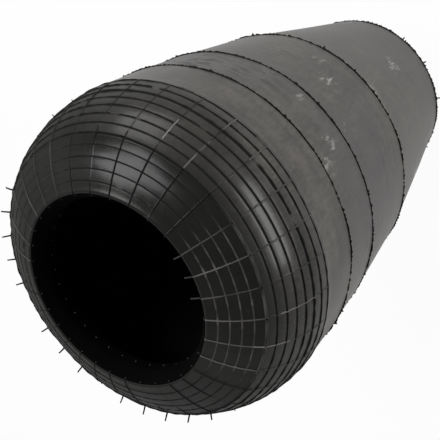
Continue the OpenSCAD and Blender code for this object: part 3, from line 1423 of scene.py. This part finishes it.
    def shoulder(self) -> None:
        """Builds the domed shoulder with its rings and ribs, down to the first mould joint."""
        o = self.outline
        nose = [o.dome(o.lip_m + past, depth) for past, depth in self.nose]
        stations = self._stations()
        skirt = [o.side_points[0], *straight(*o.side_points[:2], self.skirt_rows)][1:]
        inside = [o.dome(m, o.cover_t) for m in np.arange(0, o.lip_m - 2, o.wall_step)]
        outer = nose + [o.dome(m) for m in stations] + skirt
        section = np.array([*outer, o.joint(0, o.cover_t), *inside])
        angles, offsets = self._rib_columns(section[:, 0])
        lathing = Lathing(section, angles=angles)
        place = np.full(len(section), OFF_DOME)
        place[:len(nose)] = o.lip_m - 0.5
        place[len(nose):len(nose) + len(stations)] = stations
        along = np.repeat(place[:, None], lathing.columns, axis=1)
        places = Places(angles, along, offsets[None, :])
        height, share = self._relief(places)
        plain = place == OFF_DOME
        plain[:self.bare_nose_rows] = True
        height[plain] = share[plain] = 0
        for amount in (SAG.at(angles, lathing.height), height, self._pillows(along)):
            lathing.swell(lathing.normals(), amount)
        # Paleness: torn ribs, and painted highlights on the ridges of the face's shaded flanks.
        pale = self.wear_and_light.paleness(places)
        share = np.where((pale > 0.35) & (share > 0.1), np.maximum(share, 0.9), share)
        marks = {
            Mark.RIDGE: share, Mark.PALE: pale * (share > 0.3),
            Mark.DUST: self.wear_and_light.dust(places), Mark.DULL: self.wear_and_light.dullness(places),
        }
        piece = lathing.build("cover_shoulder", self.finishes.shoulder, marks, sharp_above=60)
        self._part_finishes(piece, share, places)
        across_front(piece)
        dress(piece, Slot.COVER, "outer_cover", "shoulder_vent_ribs")

    def _relief(self, places: Places) -> tuple[Array, Array]:
        """Finds the height of the rings and ribs over the shoulder.

        Args:
            places: The places of the mesh.

        Returns:
            Height in mm, and how much of a ridge each place is.
        """
        angles, along = places.angles, places.along
        height, share = np.zeros_like(angles), np.zeros_like(angles)
        for i in range(self.outline.ring_count):
            top, half = self._ring(i)
            worn = RoundNoise(40 + i, fastest=90).at(angles)
            worn = self.ring_wear[0] + self.ring_wear[1] * worn
            away = np.abs(along - i * self.outline.ring_pitch) / half
            height += top * np.interp(away, *self.ring_profile) * np.clip(worn, 0.3, 1.3)
            ring = np.interp(away, self.ring_foot, (1.0, 0.0)) * np.clip(worn, 0.3, 1.0)
            share = np.maximum(share, ring)
        torn = RoundNoise(7, waves=40, slowest=8, fastest=70).at(angles, along)
        whole = smooth_step((torn - self.rib_torn[0]) / self.rib_torn[1])
        on_rib = (places.from_rib <= 1.1) & (along > UNDER_BELT)
        rib = self.rib_h * np.interp(places.from_rib, *self.rib_profile)
        rib = rib * (self.torn_rib_h + (1 - self.torn_rib_h) * whole)
        height = np.where(on_rib, np.maximum(height, rib), height)
        (low, rise), (torn_low, torn_rise) = self.rib_shown
        shown = low + rise * smooth_step((along - self.rib_fade[0]) / self.rib_fade[1])
        shown = shown * (torn_low + torn_rise * whole)
        return height, np.where(on_rib, np.maximum(share, shown), share)

    def _part_finishes(self, piece: Piece, share: Array, places: Places) -> None:
        """Parts the shoulder into its patches: crown, rings and ribs, face, and shelf side.

        Args:
            piece: The shoulder.
            share: How much of a ridge each place is, by row and column.
            places: The places of its mesh.
        """
        least = np.minimum(share, np.roll(share, -1, axis=0))
        least = np.minimum(least, np.roll(least, -1, axis=1))
        start, end = (VENTS.nearest(side) for side in self.dull_side)
        nudge = 1e-6
        inward = [places.angles - start + nudge, end - places.angles - nudge]
        inward = np.min(np.mod(inward, math.tau), axis=0)
        on_side = inward < (end - start) % math.tau / 2
        on_side &= places.along > 0.9 * self.outline.ring_pitch
        step = np.clip(inward / math.radians(self.shelf_step), 0, len(self.finishes.shaded) - 1)
        which = np.where(on_side, Patch.SHELF.value + step.astype(int), Patch.CROWN.value)
        # The face takes the darker copy of the crown rubber, as painted shade.
        which = np.where(places.along > self.outline.crown_run, Patch.FACE.value, which)
        which = np.where(least > 0.45, Patch.RIDGE.value, which)
        for finish in (self.finishes.ridge, self.finishes.face, *self.finishes.shaded):
            piece.data.materials.append(finish)
        piece.data.polygons.foreach_set("material_index", which.reshape(-1).astype(np.int32))
        piece.data.update()

    def _pillows(self, along: Array) -> Array:
        """Finds how far the bands between the rings stand out.

        Args:
            along: Places along the outline by row and column, in mm.

        Returns:
            Height, in mm.
        """
        rings, share = np.divmod(along / self.outline.ring_pitch, 1)
        banded = (along > 0) & (rings < self.outline.ring_count - 1)
        return np.where(banded, self.pillow * 4 * share * (1 - share), 0.0)

    def _wall(self, name: str, outer: Line, inner: Line) -> Piece:
        """Builds a plain stretch of the cover.

        Args:
            name: The piece's name.
            outer: Its outer line, from the top down.
            inner: Its inner line, from the foot up.

        Returns:
            The new object.
        """
        lathing = Lathing(np.array(outer + inner), columns=self.body_columns)
        lathing.swell(lathing.normals(), SAG.at(lathing.angles, lathing.height))
        return lathing.build(name, self.finishes.body, {Mark.PALE: self._scuffed(lathing)})

    def _scuffed(self, lathing: Lathing) -> Array:
        """Finds how scuffed each place of a wall is, from the list of scuffs.

        Args:
            lathing: The wall.

        Returns:
            The stronger of the scuffs that reach each place.
        """
        scuffed = np.zeros_like(lathing.angles)
        for where, height, size, amount in self.scuffs:
            away = apart(lathing.angles, math.radians(where)) * lathing.radius
            spot = (away / size) ** 2 + ((lathing.height - height) / size) ** 2
            mark = amount * np.exp(-spot)
            scuffed = np.where(np.abs(mark) > np.abs(scuffed), mark, scuffed)
        return scuffed

    def waist(self) -> None:
        """Builds the two middle stretches, between the first and the third mould joint."""
        o = self.outline
        a, b, c = o.side_points[1:4]
        outer = [a, *straight(a, b, self.waist_rows[0]), *straight(b, c, self.waist_rows[1])]
        piece = self._wall("cover_waist", outer, [o.joint(i, o.cover_t) for i in (2, 1, 0)])
        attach(piece, Body.SLEEVE.value)
        dress(piece, Slot.COVER, "outer_cover")

    def foot(self) -> None:
        """Builds the last cone with the rounded rear rim that the part stands on."""
        o = self.outline
        outer = [o.cone(s) for s in np.linspace(o.cone_run, 2.0, self.foot_rows)]
        outer += [o.cone(0.6), o.cone(-0.4), o.cone(-1.0, 0.3)]
        outer += beside((o.rim_r, 0.0), *self.heel)
        outer += beside((o.rear_core[0] + 1, 0.0), (0, 0), (0, o.cover_t))
        rear_n = angle_of(o.cone_normal)
        inner = o.arc(o.rear_core, o.core_depth - o.cover_t, rear_n - 60, rear_n)
        piece = self._wall("cover_foot", outer, inner + [o.joint(2, o.cover_t)])
        across_rear(piece)
        dress(piece, Slot.COVER, "outer_cover")


@dataclass
class InnerLayers(SubAssembly):
    """Both cord plies and the liner, each in a front and a rear piece.

    Attributes:
        columns: Number of columns.
        turn_ups: Where the outer and the inner ply's turn-ups end: steps past the crown at the
            front, and mm from the rim at the rear.
        ply_ends: Where both plies leave the wall for the cores, in the same measures.
        liner_ends: Where the liner ends, in the same measures.
    """

    columns: int = 160
    turn_ups: tuple[tuple[int, float], ...] = ((4, 24.0), (2, 32.0))
    ply_ends: tuple[int, float] = (7, 6.5)
    liner_ends: tuple[int, float] = (8, 18.0)

    def build(self) -> None:
        """Builds the six pieces."""
        o = self.outline
        for number, (name, (steps, end_s)) in enumerate(zip(("outer", "inner"), self.turn_ups)):
            off, end_m = number * o.ply_t, self._front_end(steps)
            front = [self._front_line(off + t, end_m) for t in (o.ply_t, 0.0)]
            rear = [self._rear_line(off + t, end_s) for t in (o.ply_t, 0.0)]
            layer = (f"{name}_ply", self.finishes.cord, Slot.CORD, f"{name}_cord_ply")
            self._pair(*layer, front, rear)
        off, (steps, end_s) = 2 * o.ply_t, self.liner_ends
        front = [o.front_wall(off + t, self._front_end(steps)) for t in (o.liner_t, 0.0)]
        rear = [o.rear_wall(off + t, end_s) for t in (o.liner_t, 0.0)]
        self._pair("liner", self.finishes.liner, Slot.LINER, "inner_liner", front, rear)

    def _front_end(self, steps: int) -> float:
        """Place along the outline a number of wall steps past the crown."""
        return self.outline.crown_run + steps * self.outline.wall_step

    def _front_line(self, off: float, end_m: float) -> Line:
        """Follows a ply from its turned-up end round the front core to the second mould joint.

        Args:
            off: How much further in than the outer ply's outer face.
            end_m: Where the turn-up ends, along the outline.

        Returns:
            Points of one face of the ply.
        """
        o = self.outline
        depth = o.core_depth - o.hairpin_r - off
        up = [o.dome(m, depth) for m in np.arange(end_m, o.front_core_m - 2, o.wall_step)]
        n = angle_of(o.dome_normal(o.front_core_m))
        turn = o.arc(o.front_core, o.hairpin_r + off, n, n + 180)
        return up + turn + o.front_wall(off, self._front_end(self.ply_ends[0]))

    def _rear_line(self, off: float, end_s: float) -> Line:
        """Follows a ply from the second mould joint round the rear core to its turned-up end.

        Args:
            off: How much further in than the outer ply's outer face.
            end_s: Where the turn-up ends, from the rim.

        Returns:
            Points of one face of the ply.
        """
        o = self.outline
        n = angle_of(o.cone_normal)
        turn = o.arc(o.rear_core, o.hairpin_r + off, n - 180, n)
        end = o.cone(end_s, o.core_depth - o.hairpin_r - off)
        return [*o.rear_wall(off, self.ply_ends[1]), *turn, end]

    def _pair(
        self, name: str, material: Material, slot: Slot, node: str,
        front: list[Line], rear: list[Line],
    ) -> None:
        """Builds the front and the rear piece of a layer.

        Args:
            name: Start of the pieces' names.
            material: Their finish.
            slot: Their material slot.
            node: The CAD node that they stand for.
            front: Inner and outer line of the front piece.
            rear: Inner and outer line of the rear piece.
        """
        for end, (far, near), bend in (("front", front, across_front), ("rear", rear, across_rear)):
            lathing = Lathing(np.array(far + near[::-1]), columns=self.columns)
            lathing.swell((1.0, 0.0), SAG.at(lathing.angles, lathing.height))
            piece = lathing.build(f"{name}_{end}", material)
            bend(piece)
            dress(piece, slot, node)


@dataclass
class ToeStrips(SubAssembly):
    """The rubber strips that line both bores.

    Attributes:
        columns: Number of columns.
        nub_z: Height of the nubs round the front bore, in mm.
        front_nose: Steps of the front strip's rounded top from where it meets the lip, in mm.
        front_flare: Steps of its slope from the top of its land.
        front_heel: Steps of its lower edge from the foot of its land.
        rear_foot: Steps of the rear strip's foot from the bore at the floor.
        rear_flare: Steps of its upper edge from the top of its land.
        front_rows: Rows of the front land from its foot, as shares of its length.
        rear_rows: Rows of the rear land.
    """

    columns: int = 320
    nub_z: float = 386.0
    front_nose: Pairs = (
        (0, 0), (-0.7, -0.35), (-1.6, -1.4), (-2.6, -2.6), (-3.6, -4.0),
    )
    front_flare: Pairs = ((1.6, 3.2), (0.8, 1.6), (0.25, 0.5))
    front_heel: Pairs = ((0.3, -1.2), (1, -2.4), (2.2, -3.4), (4, -4))
    rear_foot: Pairs = ((3, 0.5), (1.2, 1.8), (0.3, 3.0))
    rear_flare: Pairs = ((0.4, 1.4), (1.2, 3))
    front_rows: tuple[float, ...] = (0.96, 0.75, 0.5, 0.25, 0.0)
    rear_rows: tuple[float, ...] = (0.0, 0.33, 0.66, 1.0)

    def build(self) -> None:
        """Builds both strips and the nubs of the front one."""
        self.front()
        self.rear()
        self.nubs()

    @property
    def toe_r(self) -> float:
        """Radius of the hollow that takes the turned plies."""
        return self.outline.hairpin_r + 2 * self.outline.ply_t + self.outline.bead_gap

    @property
    def toe_m(self) -> float:
        """Where the front strip meets the lip, along the outline."""
        return self.outline.lip_m + self.outline.bead_gap + 0.5

    @property
    def toe_top(self) -> Array:
        """Point where the front strip meets the lip."""
        return self.outline.dome(self.toe_m, 0.6)

    def front(self) -> None:
        """Builds the front strip."""
        o, bore = self.outline, self.outline.front_bore_r
        land = o.front_core[1] - 0.9 * o.land_l
        outside = beside(self.toe_top, *self.front_nose)
        outside += beside((bore, land + o.land_l), *self.front_flare)
        outside += beside((bore, land), *((0, o.land_l * q) for q in self.front_rows))
        outside += beside((bore, land), *self.front_heel)
        n = angle_of(o.dome_normal(o.front_core_m))
        hollow = o.arc(o.front_core, self.toe_r, n + 165, n + 30)
        section = np.array([*outside, *hollow, o.dome(self.toe_m, o.cover_t)])
        self._strip("front_toe", section, Body.FRONT, "front_toe_strip")

    def rear(self) -> None:
        """Builds the rear strip."""
        o, bore, core = self.outline, self.outline.rear_bore_r, self.outline.rear_core
        land = core[1] - 0.55 * o.land_l
        outside = beside((core[0], 0.0), (0.6, 0.5), (-3, 0.5))
        outside += beside((bore, 0.0), *self.rear_foot)
        outside += beside((bore, land), *((0, o.land_l * q) for q in self.rear_rows))
        outside += beside((bore, land + o.land_l), *self.rear_flare)
        neck = o.cone(12, o.cover_t + o.rear_bulge(12) + 2 * o.ply_t + o.bead_gap)
        hollow = o.arc(core, self.toe_r, angle_of(o.cone_normal) + 180, 270)
        self._strip("rear_toe", np.array([*outside, neck, *hollow]), Body.REAR, "rear_toe_strip")

    def _strip(self, name: str, section: Array, body: Body, node: str) -> None:
        """Turns a strip's section and rides it on its body.

        Args:
            name: The piece's name.
            section: Its section.
            body: The body that carries it.
            node: The CAD node that it stands for.
        """
        piece = Lathing(section, columns=self.columns).build(name, self.finishes.toe)
        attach(piece, body.value)
        dress(piece, Slot.TOE, node)

    def nubs(self) -> None:
        """Builds the torn vent nubs round the front bore."""
        rng = np.random.default_rng(31)
        hairs = HairSet("front_toe_nubs", self.finishes.hair)
        for angle in VENTS.angles():
            length = rng.uniform(0.7, 1.6)
            foot = np.array([self.outline.front_bore_r + 0.2, self.nub_z + rng.uniform(-0.4, 0.4)])
            hairs.add(angle, foot, rng.uniform(150, 175), length, width=1.7, bend=0.1)
        piece = hairs.build()
        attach(piece, Body.FRONT.value)
        dress(piece, Slot.TOE)


@dataclass
class HairSet:
    """Rubber hairs that are built into one mesh.

    Attributes:
        name: The piece's name.
        material: Its finish.
        sides: Number of points round a hair.
        rows: Number of rings up to where its tip starts.
        taper: How much it thins out towards its tip.
        shank_end: Distance of the last of those rings from the end, in widths.
        tip: Distance from the end in widths, and girth, of the tip's rings.
        points: Vertices of all hairs, in mm.
        faces: Faces of all hairs.
    """

    name: str
    material: Material
    sides: int = 8
    rows: int = 7
    taper: float = 0.25
    shank_end: float = 0.2
    tip: Pairs = ((0.07, 0.52), (0.0, 0.2))
    points: list[Array] = field(default_factory=list)
    faces: list[list[int]] = field(default_factory=list)

    def add(
        self, angle: float, foot: Array, tilt: float, length: float,
        width: float = 1.1, bend: float = 0.0, lean: float = 0.0, sunk: float = 0.5,
    ) -> None:
        """Adds one hair.

        Args:
            angle: Its place round the axis, in radians.
            foot: Its foot as a section point, in mm.
            tilt: Its direction in the section, in degrees up from level outward.
            length: Its length over the surface, in mm.
            width: Its width at the foot, in mm.
            bend: How much it curls towards its side, as a share of its length.
            lean: How far it leans round the axis, in degrees.
            sunk: How deep its foot is sunk, in mm.
        """
        out = np.array([math.cos(angle), math.sin(angle), 0.0])
        side = np.array([-math.sin(angle), math.cos(angle), 0.0])
        up = np.array([0.0, 0.0, 1.0])
        tilt, lean = math.radians(tilt), math.radians(lean)
        grow = math.cos(tilt) * out + math.sin(tilt) * up
        grow = math.cos(lean) * grow + math.sin(lean) * side
        cross = unit(np.cross(grow, side))
        flank = unit(np.cross(cross, grow))
        start, first, total = foot[0] * out + foot[1] * up, len(self.points), length + sunk
        shank = np.linspace(0, 1 - self.shank_end * width / total, self.rows)
        rings = [(q, 1 - self.taper * q) for q in shank]
        rings += [(1 - back * width / total, girth) for back, girth in self.tip]
        turns = [math.tau * k / self.sides for k in range(self.sides)]
        for q, girth in rings:
            centre = start + (q * total - sunk) * grow + bend * length * q * q * flank
            around = [math.cos(a) * flank + math.sin(a) * cross for a in turns]
            self.points += [centre + 0.5 * width * girth * spoke for spoke in around]
        for row in range(len(rings) - 1):
            for k in range(self.sides):
                a = first + row * self.sides + k
                b = first + row * self.sides + (k + 1) % self.sides
                self.faces.append([a, b, b + self.sides, a + self.sides])
        last = first + (len(rings) - 1) * self.sides
        self.faces.append([first + k for k in range(self.sides)][::-1])
        self.faces.append([last + k for k in range(self.sides)])

    def build(self) -> Piece:
        """Makes the object from all hairs."""
        points = np.array(self.points) * MM
        return make_mesh(self.name, points, self.faces, self.material, sharp_above=50)


@dataclass
class VentHairs(SubAssembly):
    """The rubber hairs and stumps that the mould's vent holes leave.

    Attributes:
        width: Width of a hair at its foot, in mm.
        long_hair: Length of a whole hair on the crown's ring, in mm.
        shoulder_span: Side on which those hairs are whole, in degrees.
        shoulder_gaps: Where one is torn off all the same, in degrees.
        shoulder_bent: Where one is bent over, and bent_shape its length, bend and lean.
        low_hairs: Ring, angle in degrees and length of the thin hairs on the lower rings.
        low_width: Their width, in mm.
        lip_long: Angle in degrees and length of the whole hairs round the lip.
        lip_tilt: Their direction in the section, in degrees.
        rim_seen: Angle in degrees and length of the rim's hairs that the photograph shows.
        rim_hidden: First, end and step of the angles of its other hairs, in degrees.
    """

    width: float = 1.4
    long_hair: float = 6.6
    shoulder_span: Pair = (15.0, 172.0)
    shoulder_gaps: tuple[float, ...] = (74.6, 115.7)
    shoulder_bent: tuple[float, ...] = (312.6,)
    bent_shape: Triple = (3.4, 0.4, 25.0)
    low_hairs: tuple[tuple[int, float, float], ...] = (
        (4, 169.2, 2.6), (5, 180.5, 2.4), (5, 359.5, 2.2), (2, 359.5, 2.4), (2, 348.1, 2.4),
    )
    low_width: float = 0.9
    lip_long: Pairs = ((263.5, 5.6), (251.5, 5.4), (239.8, 6.6), (202.8, 1.8))
    lip_tilt: float = 150.0
    rim_seen: Pairs = (
        (312.8, 1.2), (294.8, 1.4), (284.5, 2.8), (273.5, 1.2), (262.8, 3.2), (236.0, 4.2),
        (209.5, 1.2),
    )
    rim_hidden: Triple = (5.0, 200.0, 11.25)

    def build(self) -> None:
        """Builds the hairs of the shoulder, the lip and the rim."""
        self.shoulder()
        self.lip()
        self.rim()

    def shoulder(self) -> None:
        """Builds the hairs of the crown's ring: whole on the far side, torn off on the near one."""
        o = self.outline
        rng = np.random.default_rng(5)
        hairs = HairSet("shoulder_hairs", self.finishes.dark_hair)
        n = angle_of(o.dome_normal(o.crown_run))
        gaps = [VENTS.nearest(where) for where in self.shoulder_gaps]
        bent = [VENTS.nearest(where) for where in self.shoulder_bent]
        low, high = self.shoulder_span
        for angle in VENTS.angles():
            length = self.long_hair * rng.uniform(0.9, 1.08)
            tilt, lean = n + rng.uniform(-8, 8), rng.uniform(-8, 8)
            bend = rng.uniform(-0.12, 0.12)
            if angle in gaps or not low <= math.degrees(angle) % 360 <= high:
                length = rng.uniform(0.7, 1.5)
            if angle in bent:
                length, bend, lean = self.bent_shape
            hairs.add(angle, o.dome(o.crown_run, -0.5), tilt, length, self.width, bend, lean)
        for ring, where, length in self.low_hairs:
            m = ring * o.ring_pitch
            tilt = angle_of(o.dome_normal(m))
            hairs.add(VENTS.nearest(where), o.dome(m, -0.4), tilt, length, self.low_width)
        piece = hairs.build()
        across_front(piece)
        dress(piece, Slot.COVER, "shoulder_vent_spews")

    def lip(self) -> None:
        """Builds the few hairs that point into the opening, and the stumps between them."""
        rng = np.random.default_rng(6)
        hairs = HairSet("lip_hairs", self.finishes.hair)
        foot = ToeStrips(self.outline, self.finishes).toe_top - [1.0, 0.9]
        long_ones = {VENTS.nearest(where): length for where, length in self.lip_long}
        for angle in VENTS.angles():
            length = long_ones.get(float(angle), rng.uniform(0.3, 0.8))
            tilt, lean = self.lip_tilt + rng.uniform(-8, 8), rng.uniform(-8, 8)
            hairs.add(angle, foot, tilt, length, self.width, 0.08, lean)
        piece = hairs.build()
        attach(piece, Body.FRONT.value)
        dress(piece, Slot.TOE, "lip_vent_spews")

    def rim(self) -> None:
        """Builds the short hairs round the rear rim."""
        o = self.outline
        rng = np.random.default_rng(8)
        hairs = HairSet("rim_hairs", self.finishes.dark_hair)
        places = [(where, length, 6) for where, length in self.rim_seen]
        places += [(where, rng.uniform(1.2, 3.4), 10) for where in np.arange(*self.rim_hidden)]
        for where, length, most in places:
            lean, bend = rng.uniform(-most, most), rng.uniform(-0.1, 0.1)
            tilt = angle_of(o.cone_normal) + 4
            hairs.add(math.radians(where), o.cone(0.6, -0.4), tilt, length, self.width, bend, lean)
        piece = hairs.build()
        across_rear(piece)
        dress(piece, Slot.COVER, "rim_vent_spews")


@dataclass
class MouldFlash(SubAssembly):
    """Thin torn fins of rubber that the mould's joints squeeze out.

    Attributes:
        columns: Number of columns.
        root_depth: How deep a fin's root is sunk, in mm.
        foot_h: Height of its foot, in mm.
        foot_w: Half width of the foot and of the tip, as shares of that of the root.
        nubs: Number of nubs on each fin, nub_h their height in fins, nub_w their width in radians.
        tip_share: How much each point of the section follows the torn edge.
        wander: How far a fin wanders along the sleeve, in mm.
    """

    columns: int = 1400
    root_depth: float = 0.6
    foot_h: float = 0.25
    foot_w: Pair = (0.4, 0.16)
    nubs: int = 14
    nub_h: float = 0.9
    nub_w: float = 0.006
    tip_share: tuple[float, ...] = (0, 0, 0.3, 1, 1, 0.3, 0, 0)
    wander: float = 0.25

    def build(self) -> None:
        """Builds the fins of the three mould joints and of the rear rim."""
        o = self.outline
        for i in range(3):
            out = unit(o.side_normal(i) + o.side_normal(i + 1))
            piece = self._fin(f"joint_flash_{i + 1}", o.joint(i), out, seed=60 + i)
            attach(piece, Body.SLEEVE.value)
            dress(piece, Slot.COVER)
        piece = self._fin("rim_flash", o.cone(0.6), o.cone_normal, seed=70, tall=1.3, wide=1.5)
        across_rear(piece)
        dress(piece, Slot.COVER)

    def _torn(self, angle: Array, seed: int) -> Array:
        """Finds how tall a fin is left round the axis.

        Args:
            angle: Angles round the axis, in radians.
            seed: Picks where the fin is torn.

        Returns:
            Height as a share of the whole fin's.
        """
        slow = RoundNoise(seed, slowest=2, fastest=14).at(angle)
        quick = RoundNoise(seed + 100, waves=60, slowest=40, fastest=260).at(angle)
        whole = smooth_step((slow + 0.35) / 0.5)
        cut = np.clip(0.5 + 0.35 * whole + 0.4 * quick, 0.12, 1.25)
        for spot in np.random.default_rng(seed).uniform(0, math.tau, self.nubs):
            cut = cut + self.nub_h * np.exp(-((apart(angle, spot) / self.nub_w) ** 2))
        return cut

    def _fin(
        self, name: str, root: Array, out: Array, seed: int, tall: float = 1.2, wide: float = 0.9
    ) -> Piece:
        """Builds one ragged fin.

        Args:
            name: The piece's name.
            root: Its root as a section point.
            out: Its direction in the section.
            seed: Picks where it is torn.
            tall: Its height where it is whole, in mm.
            wide: Half of its width at the root, in mm.

        Returns:
            The new object.
        """
        foot, tip = self.foot_w
        half = [(-self.root_depth, wide), (0.0, wide)]
        half += [(self.foot_h, foot * wide), (tall, tip * wide)]
        corners = half + [(rise, -aside) for rise, aside in half[::-1]]
        along = left_of(out)
        section = np.array([root + rise * out + aside * along for rise, aside in corners])
        lathing = Lathing(section, columns=self.columns)
        angle = lathing.angles[0]
        cut = self._torn(angle, seed)
        lathing.swell(out, np.array(self.tip_share)[:, None] * tall * (cut - 1)[None, :])
        lathing.swell(out, SAG.at(lathing.angles, lathing.height))
        wander = RoundNoise(seed + 9, slowest=3, fastest=60).at(angle)
        lathing.swell(along, self.wander * wander[None, :])
        return lathing.build(name, self.finishes.flash, {Mark.RIDGE: np.ones_like(lathing.angles)})


@dataclass
class BeadInsides:
    """The wire cores, wraps and fillers, which keep their CAD solids."""

    finishes: Finishes

    def build(self) -> None:
        """Gives each kept node its finish."""
        dressing = {
            "wire_core": self.finishes.wire,
            "core_wrap": self.finishes.wrap,
            "bead_filler": self.finishes.filler,
        }
        for kind, material in dressing.items():
            for end in ("front", "rear"):
                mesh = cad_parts[f"{end}_{kind}"].data
                mesh.materials.clear()
                mesh.materials.append(material)
                log.info("%s_%s: CAD solid", end, kind)


@dataclass(frozen=True)
class Lamp:
    """A soft oblong lamp that points at the belt.

    Attributes:
        name: Its name.
        way: Its direction from the belt.
        distance: Its distance from the belt, in metres.
        size: Its width, which lies level, and its height, in metres.
        power: Its power, in watts.
    """

    name: str
    way: Triple
    distance: float
    size: Pair
    power: float

    def hang(self, belt: Vector) -> None:
        """Adds the lamp to the scene.

        Args:
            belt: The point that it lights, in metres.
        """
        data = bpy.data.lights.new(self.name, "AREA")
        data.shape = "RECTANGLE"
        data.size, data.size_y = self.size
        data.energy = self.power
        lamp = bpy.data.objects.new(self.name, data)
        lamp.location = belt + self.distance * Vector(self.way).normalized()
        lamp.rotation_euler = (belt - lamp.location).to_track_quat("-Z", "Y").to_euler()
        bpy.context.scene.collection.objects.link(lamp)


@dataclass
class Studio:
    """The pale floor, the soft light and the camera of the photograph.

    Attributes:
        belt: The point that the lamps light, in metres.
        floor_size: Side of the floor, in metres.
        floor_level: Grey level of the floor, and floor_rough its roughness.
        floor_glow: How much of the floor is plain white where it is seen.
        ambient: Strength of the world's light on the object.
        lamps: The lamps low beside the body, over the face and behind.
        lens: The camera's lens, in mm.
        camera_at: The camera's place, in metres.
        right: The picture's right in the scene, and up its top.
    """

    belt: Vector = Vector((0.0, 0.0, 0.3245))
    floor_size: float = 12.0
    floor_level: float = 0.8
    floor_rough: float = 0.9
    floor_glow: float = 0.96
    ambient: float = 0.04
    lamps: tuple[Lamp, ...] = (
        Lamp("side lamp", (0.9, -0.38, -0.05), 1.6, (0.85, 1.2), 13.0),
        Lamp("front lamp", (0.22, -0.97, -0.09), 1.6, (0.6, 0.6), 1.0),
        Lamp("low front lamp", (-0.38, -0.91, -0.08), 1.4, (1.2, 0.34), 12.5),
        Lamp("face lamp", (0.59, -0.06, 0.805), 1.4, (0.85, 0.6), 22.5),
        Lamp("back lamp", (-0.55, 0.7, 0.42), 1.7, (0.9, 0.9), 3.0),
    )
    lens: float = 98.18
    camera_at: Vector = Vector((0.0, -0.6763, 0.9664))
    right: Vector = Vector((-0.6173, -0.5682, -0.5440))
    up: Vector = Vector((0.7867, -0.4397, -0.4333))

    def build(self) -> None:
        """Builds the floor, world, lamps and camera."""
        self.floor()
        self.world()
        for lamp in self.lamps:
            lamp.hang(self.belt)
        self.camera()

    def floor(self) -> None:
        """Builds the floor, which looks white and still takes a soft shadow."""
        half = self.floor_size / 2
        mesh = bpy.data.meshes.new("floor")
        corners = [(-half, -half, 0), (half, -half, 0), (half, half, 0), (-half, half, 0)]
        mesh.from_pydata(corners, [], [(0, 1, 2, 3)])
        sheet = MaterialSheet("pale floor")
        sheet.shader.inputs["Base Color"].default_value = (*grey(self.floor_level), 1.0)
        sheet.shader.inputs["Roughness"].default_value = self.floor_rough
        sheet.shader.inputs["Specular IOR Level"].default_value = 0.1
        glow = sheet.add("Emission", "Emission", {"Color": WHITE, "Strength": 1.0})
        share = sheet.math("MULTIPLY", sheet.seen_rays(), self.floor_glow)
        shaders = {"Fac": share, 1: sheet.shader.outputs["BSDF"], 2: glow}
        output = sheet.tree.nodes["Material Output"].inputs["Surface"]
        sheet.link(sheet.add("MixShader", "Shader", shaders), output)
        mesh.materials.append(sheet.material)
        floor = bpy.data.objects.new("floor", mesh)
        bpy.context.scene.collection.objects.link(floor)

    def world(self) -> None:
        """Builds the world: dim on the object, white where it is seen."""
        world = bpy.data.worlds.new("studio")
        world.use_nodes = True
        sheet = NodeSheet(world.node_tree)
        background = sheet.tree.nodes["Background"]
        background.inputs["Color"].default_value = WHITE
        strength = sheet.span(sheet.seen_rays(), self.ambient, 1.0)
        sheet.link(strength, background.inputs["Strength"])
        bpy.context.scene.world = world

    def camera(self) -> None:
        """Places the camera where the photograph was taken from, rolled as it was."""
        data = bpy.data.cameras.new("camera")
        data.sensor_width = 36.0
        data.lens = self.lens
        data.clip_start, data.clip_end = 0.05, 50.0
        camera = bpy.data.objects.new("camera", data)
        right = self.right.normalized()
        back = right.cross(self.up).normalized()
        turn = Matrix((right, back.cross(right), back)).transposed().to_4x4()
        camera.matrix_world = Matrix.Translation(self.camera_at) @ turn
        bpy.context.scene.collection.objects.link(camera)
        bpy.context.scene.camera = camera


def main() -> None:
    """Builds every piece in order and notes the size of the result."""
    logging.basicConfig(level=logging.INFO, format="%(name)s %(message)s")
    bpy.context.scene.view_settings.view_transform = "Standard"
    finishes = Finishes()
    for maker in (OuterCover, InnerLayers, ToeStrips, VentHairs, MouldFlash):
        maker(OUTLINE, finishes).build()
    BeadInsides(finishes).build()
    Studio().build()


if __name__ == "__main__":
    main()
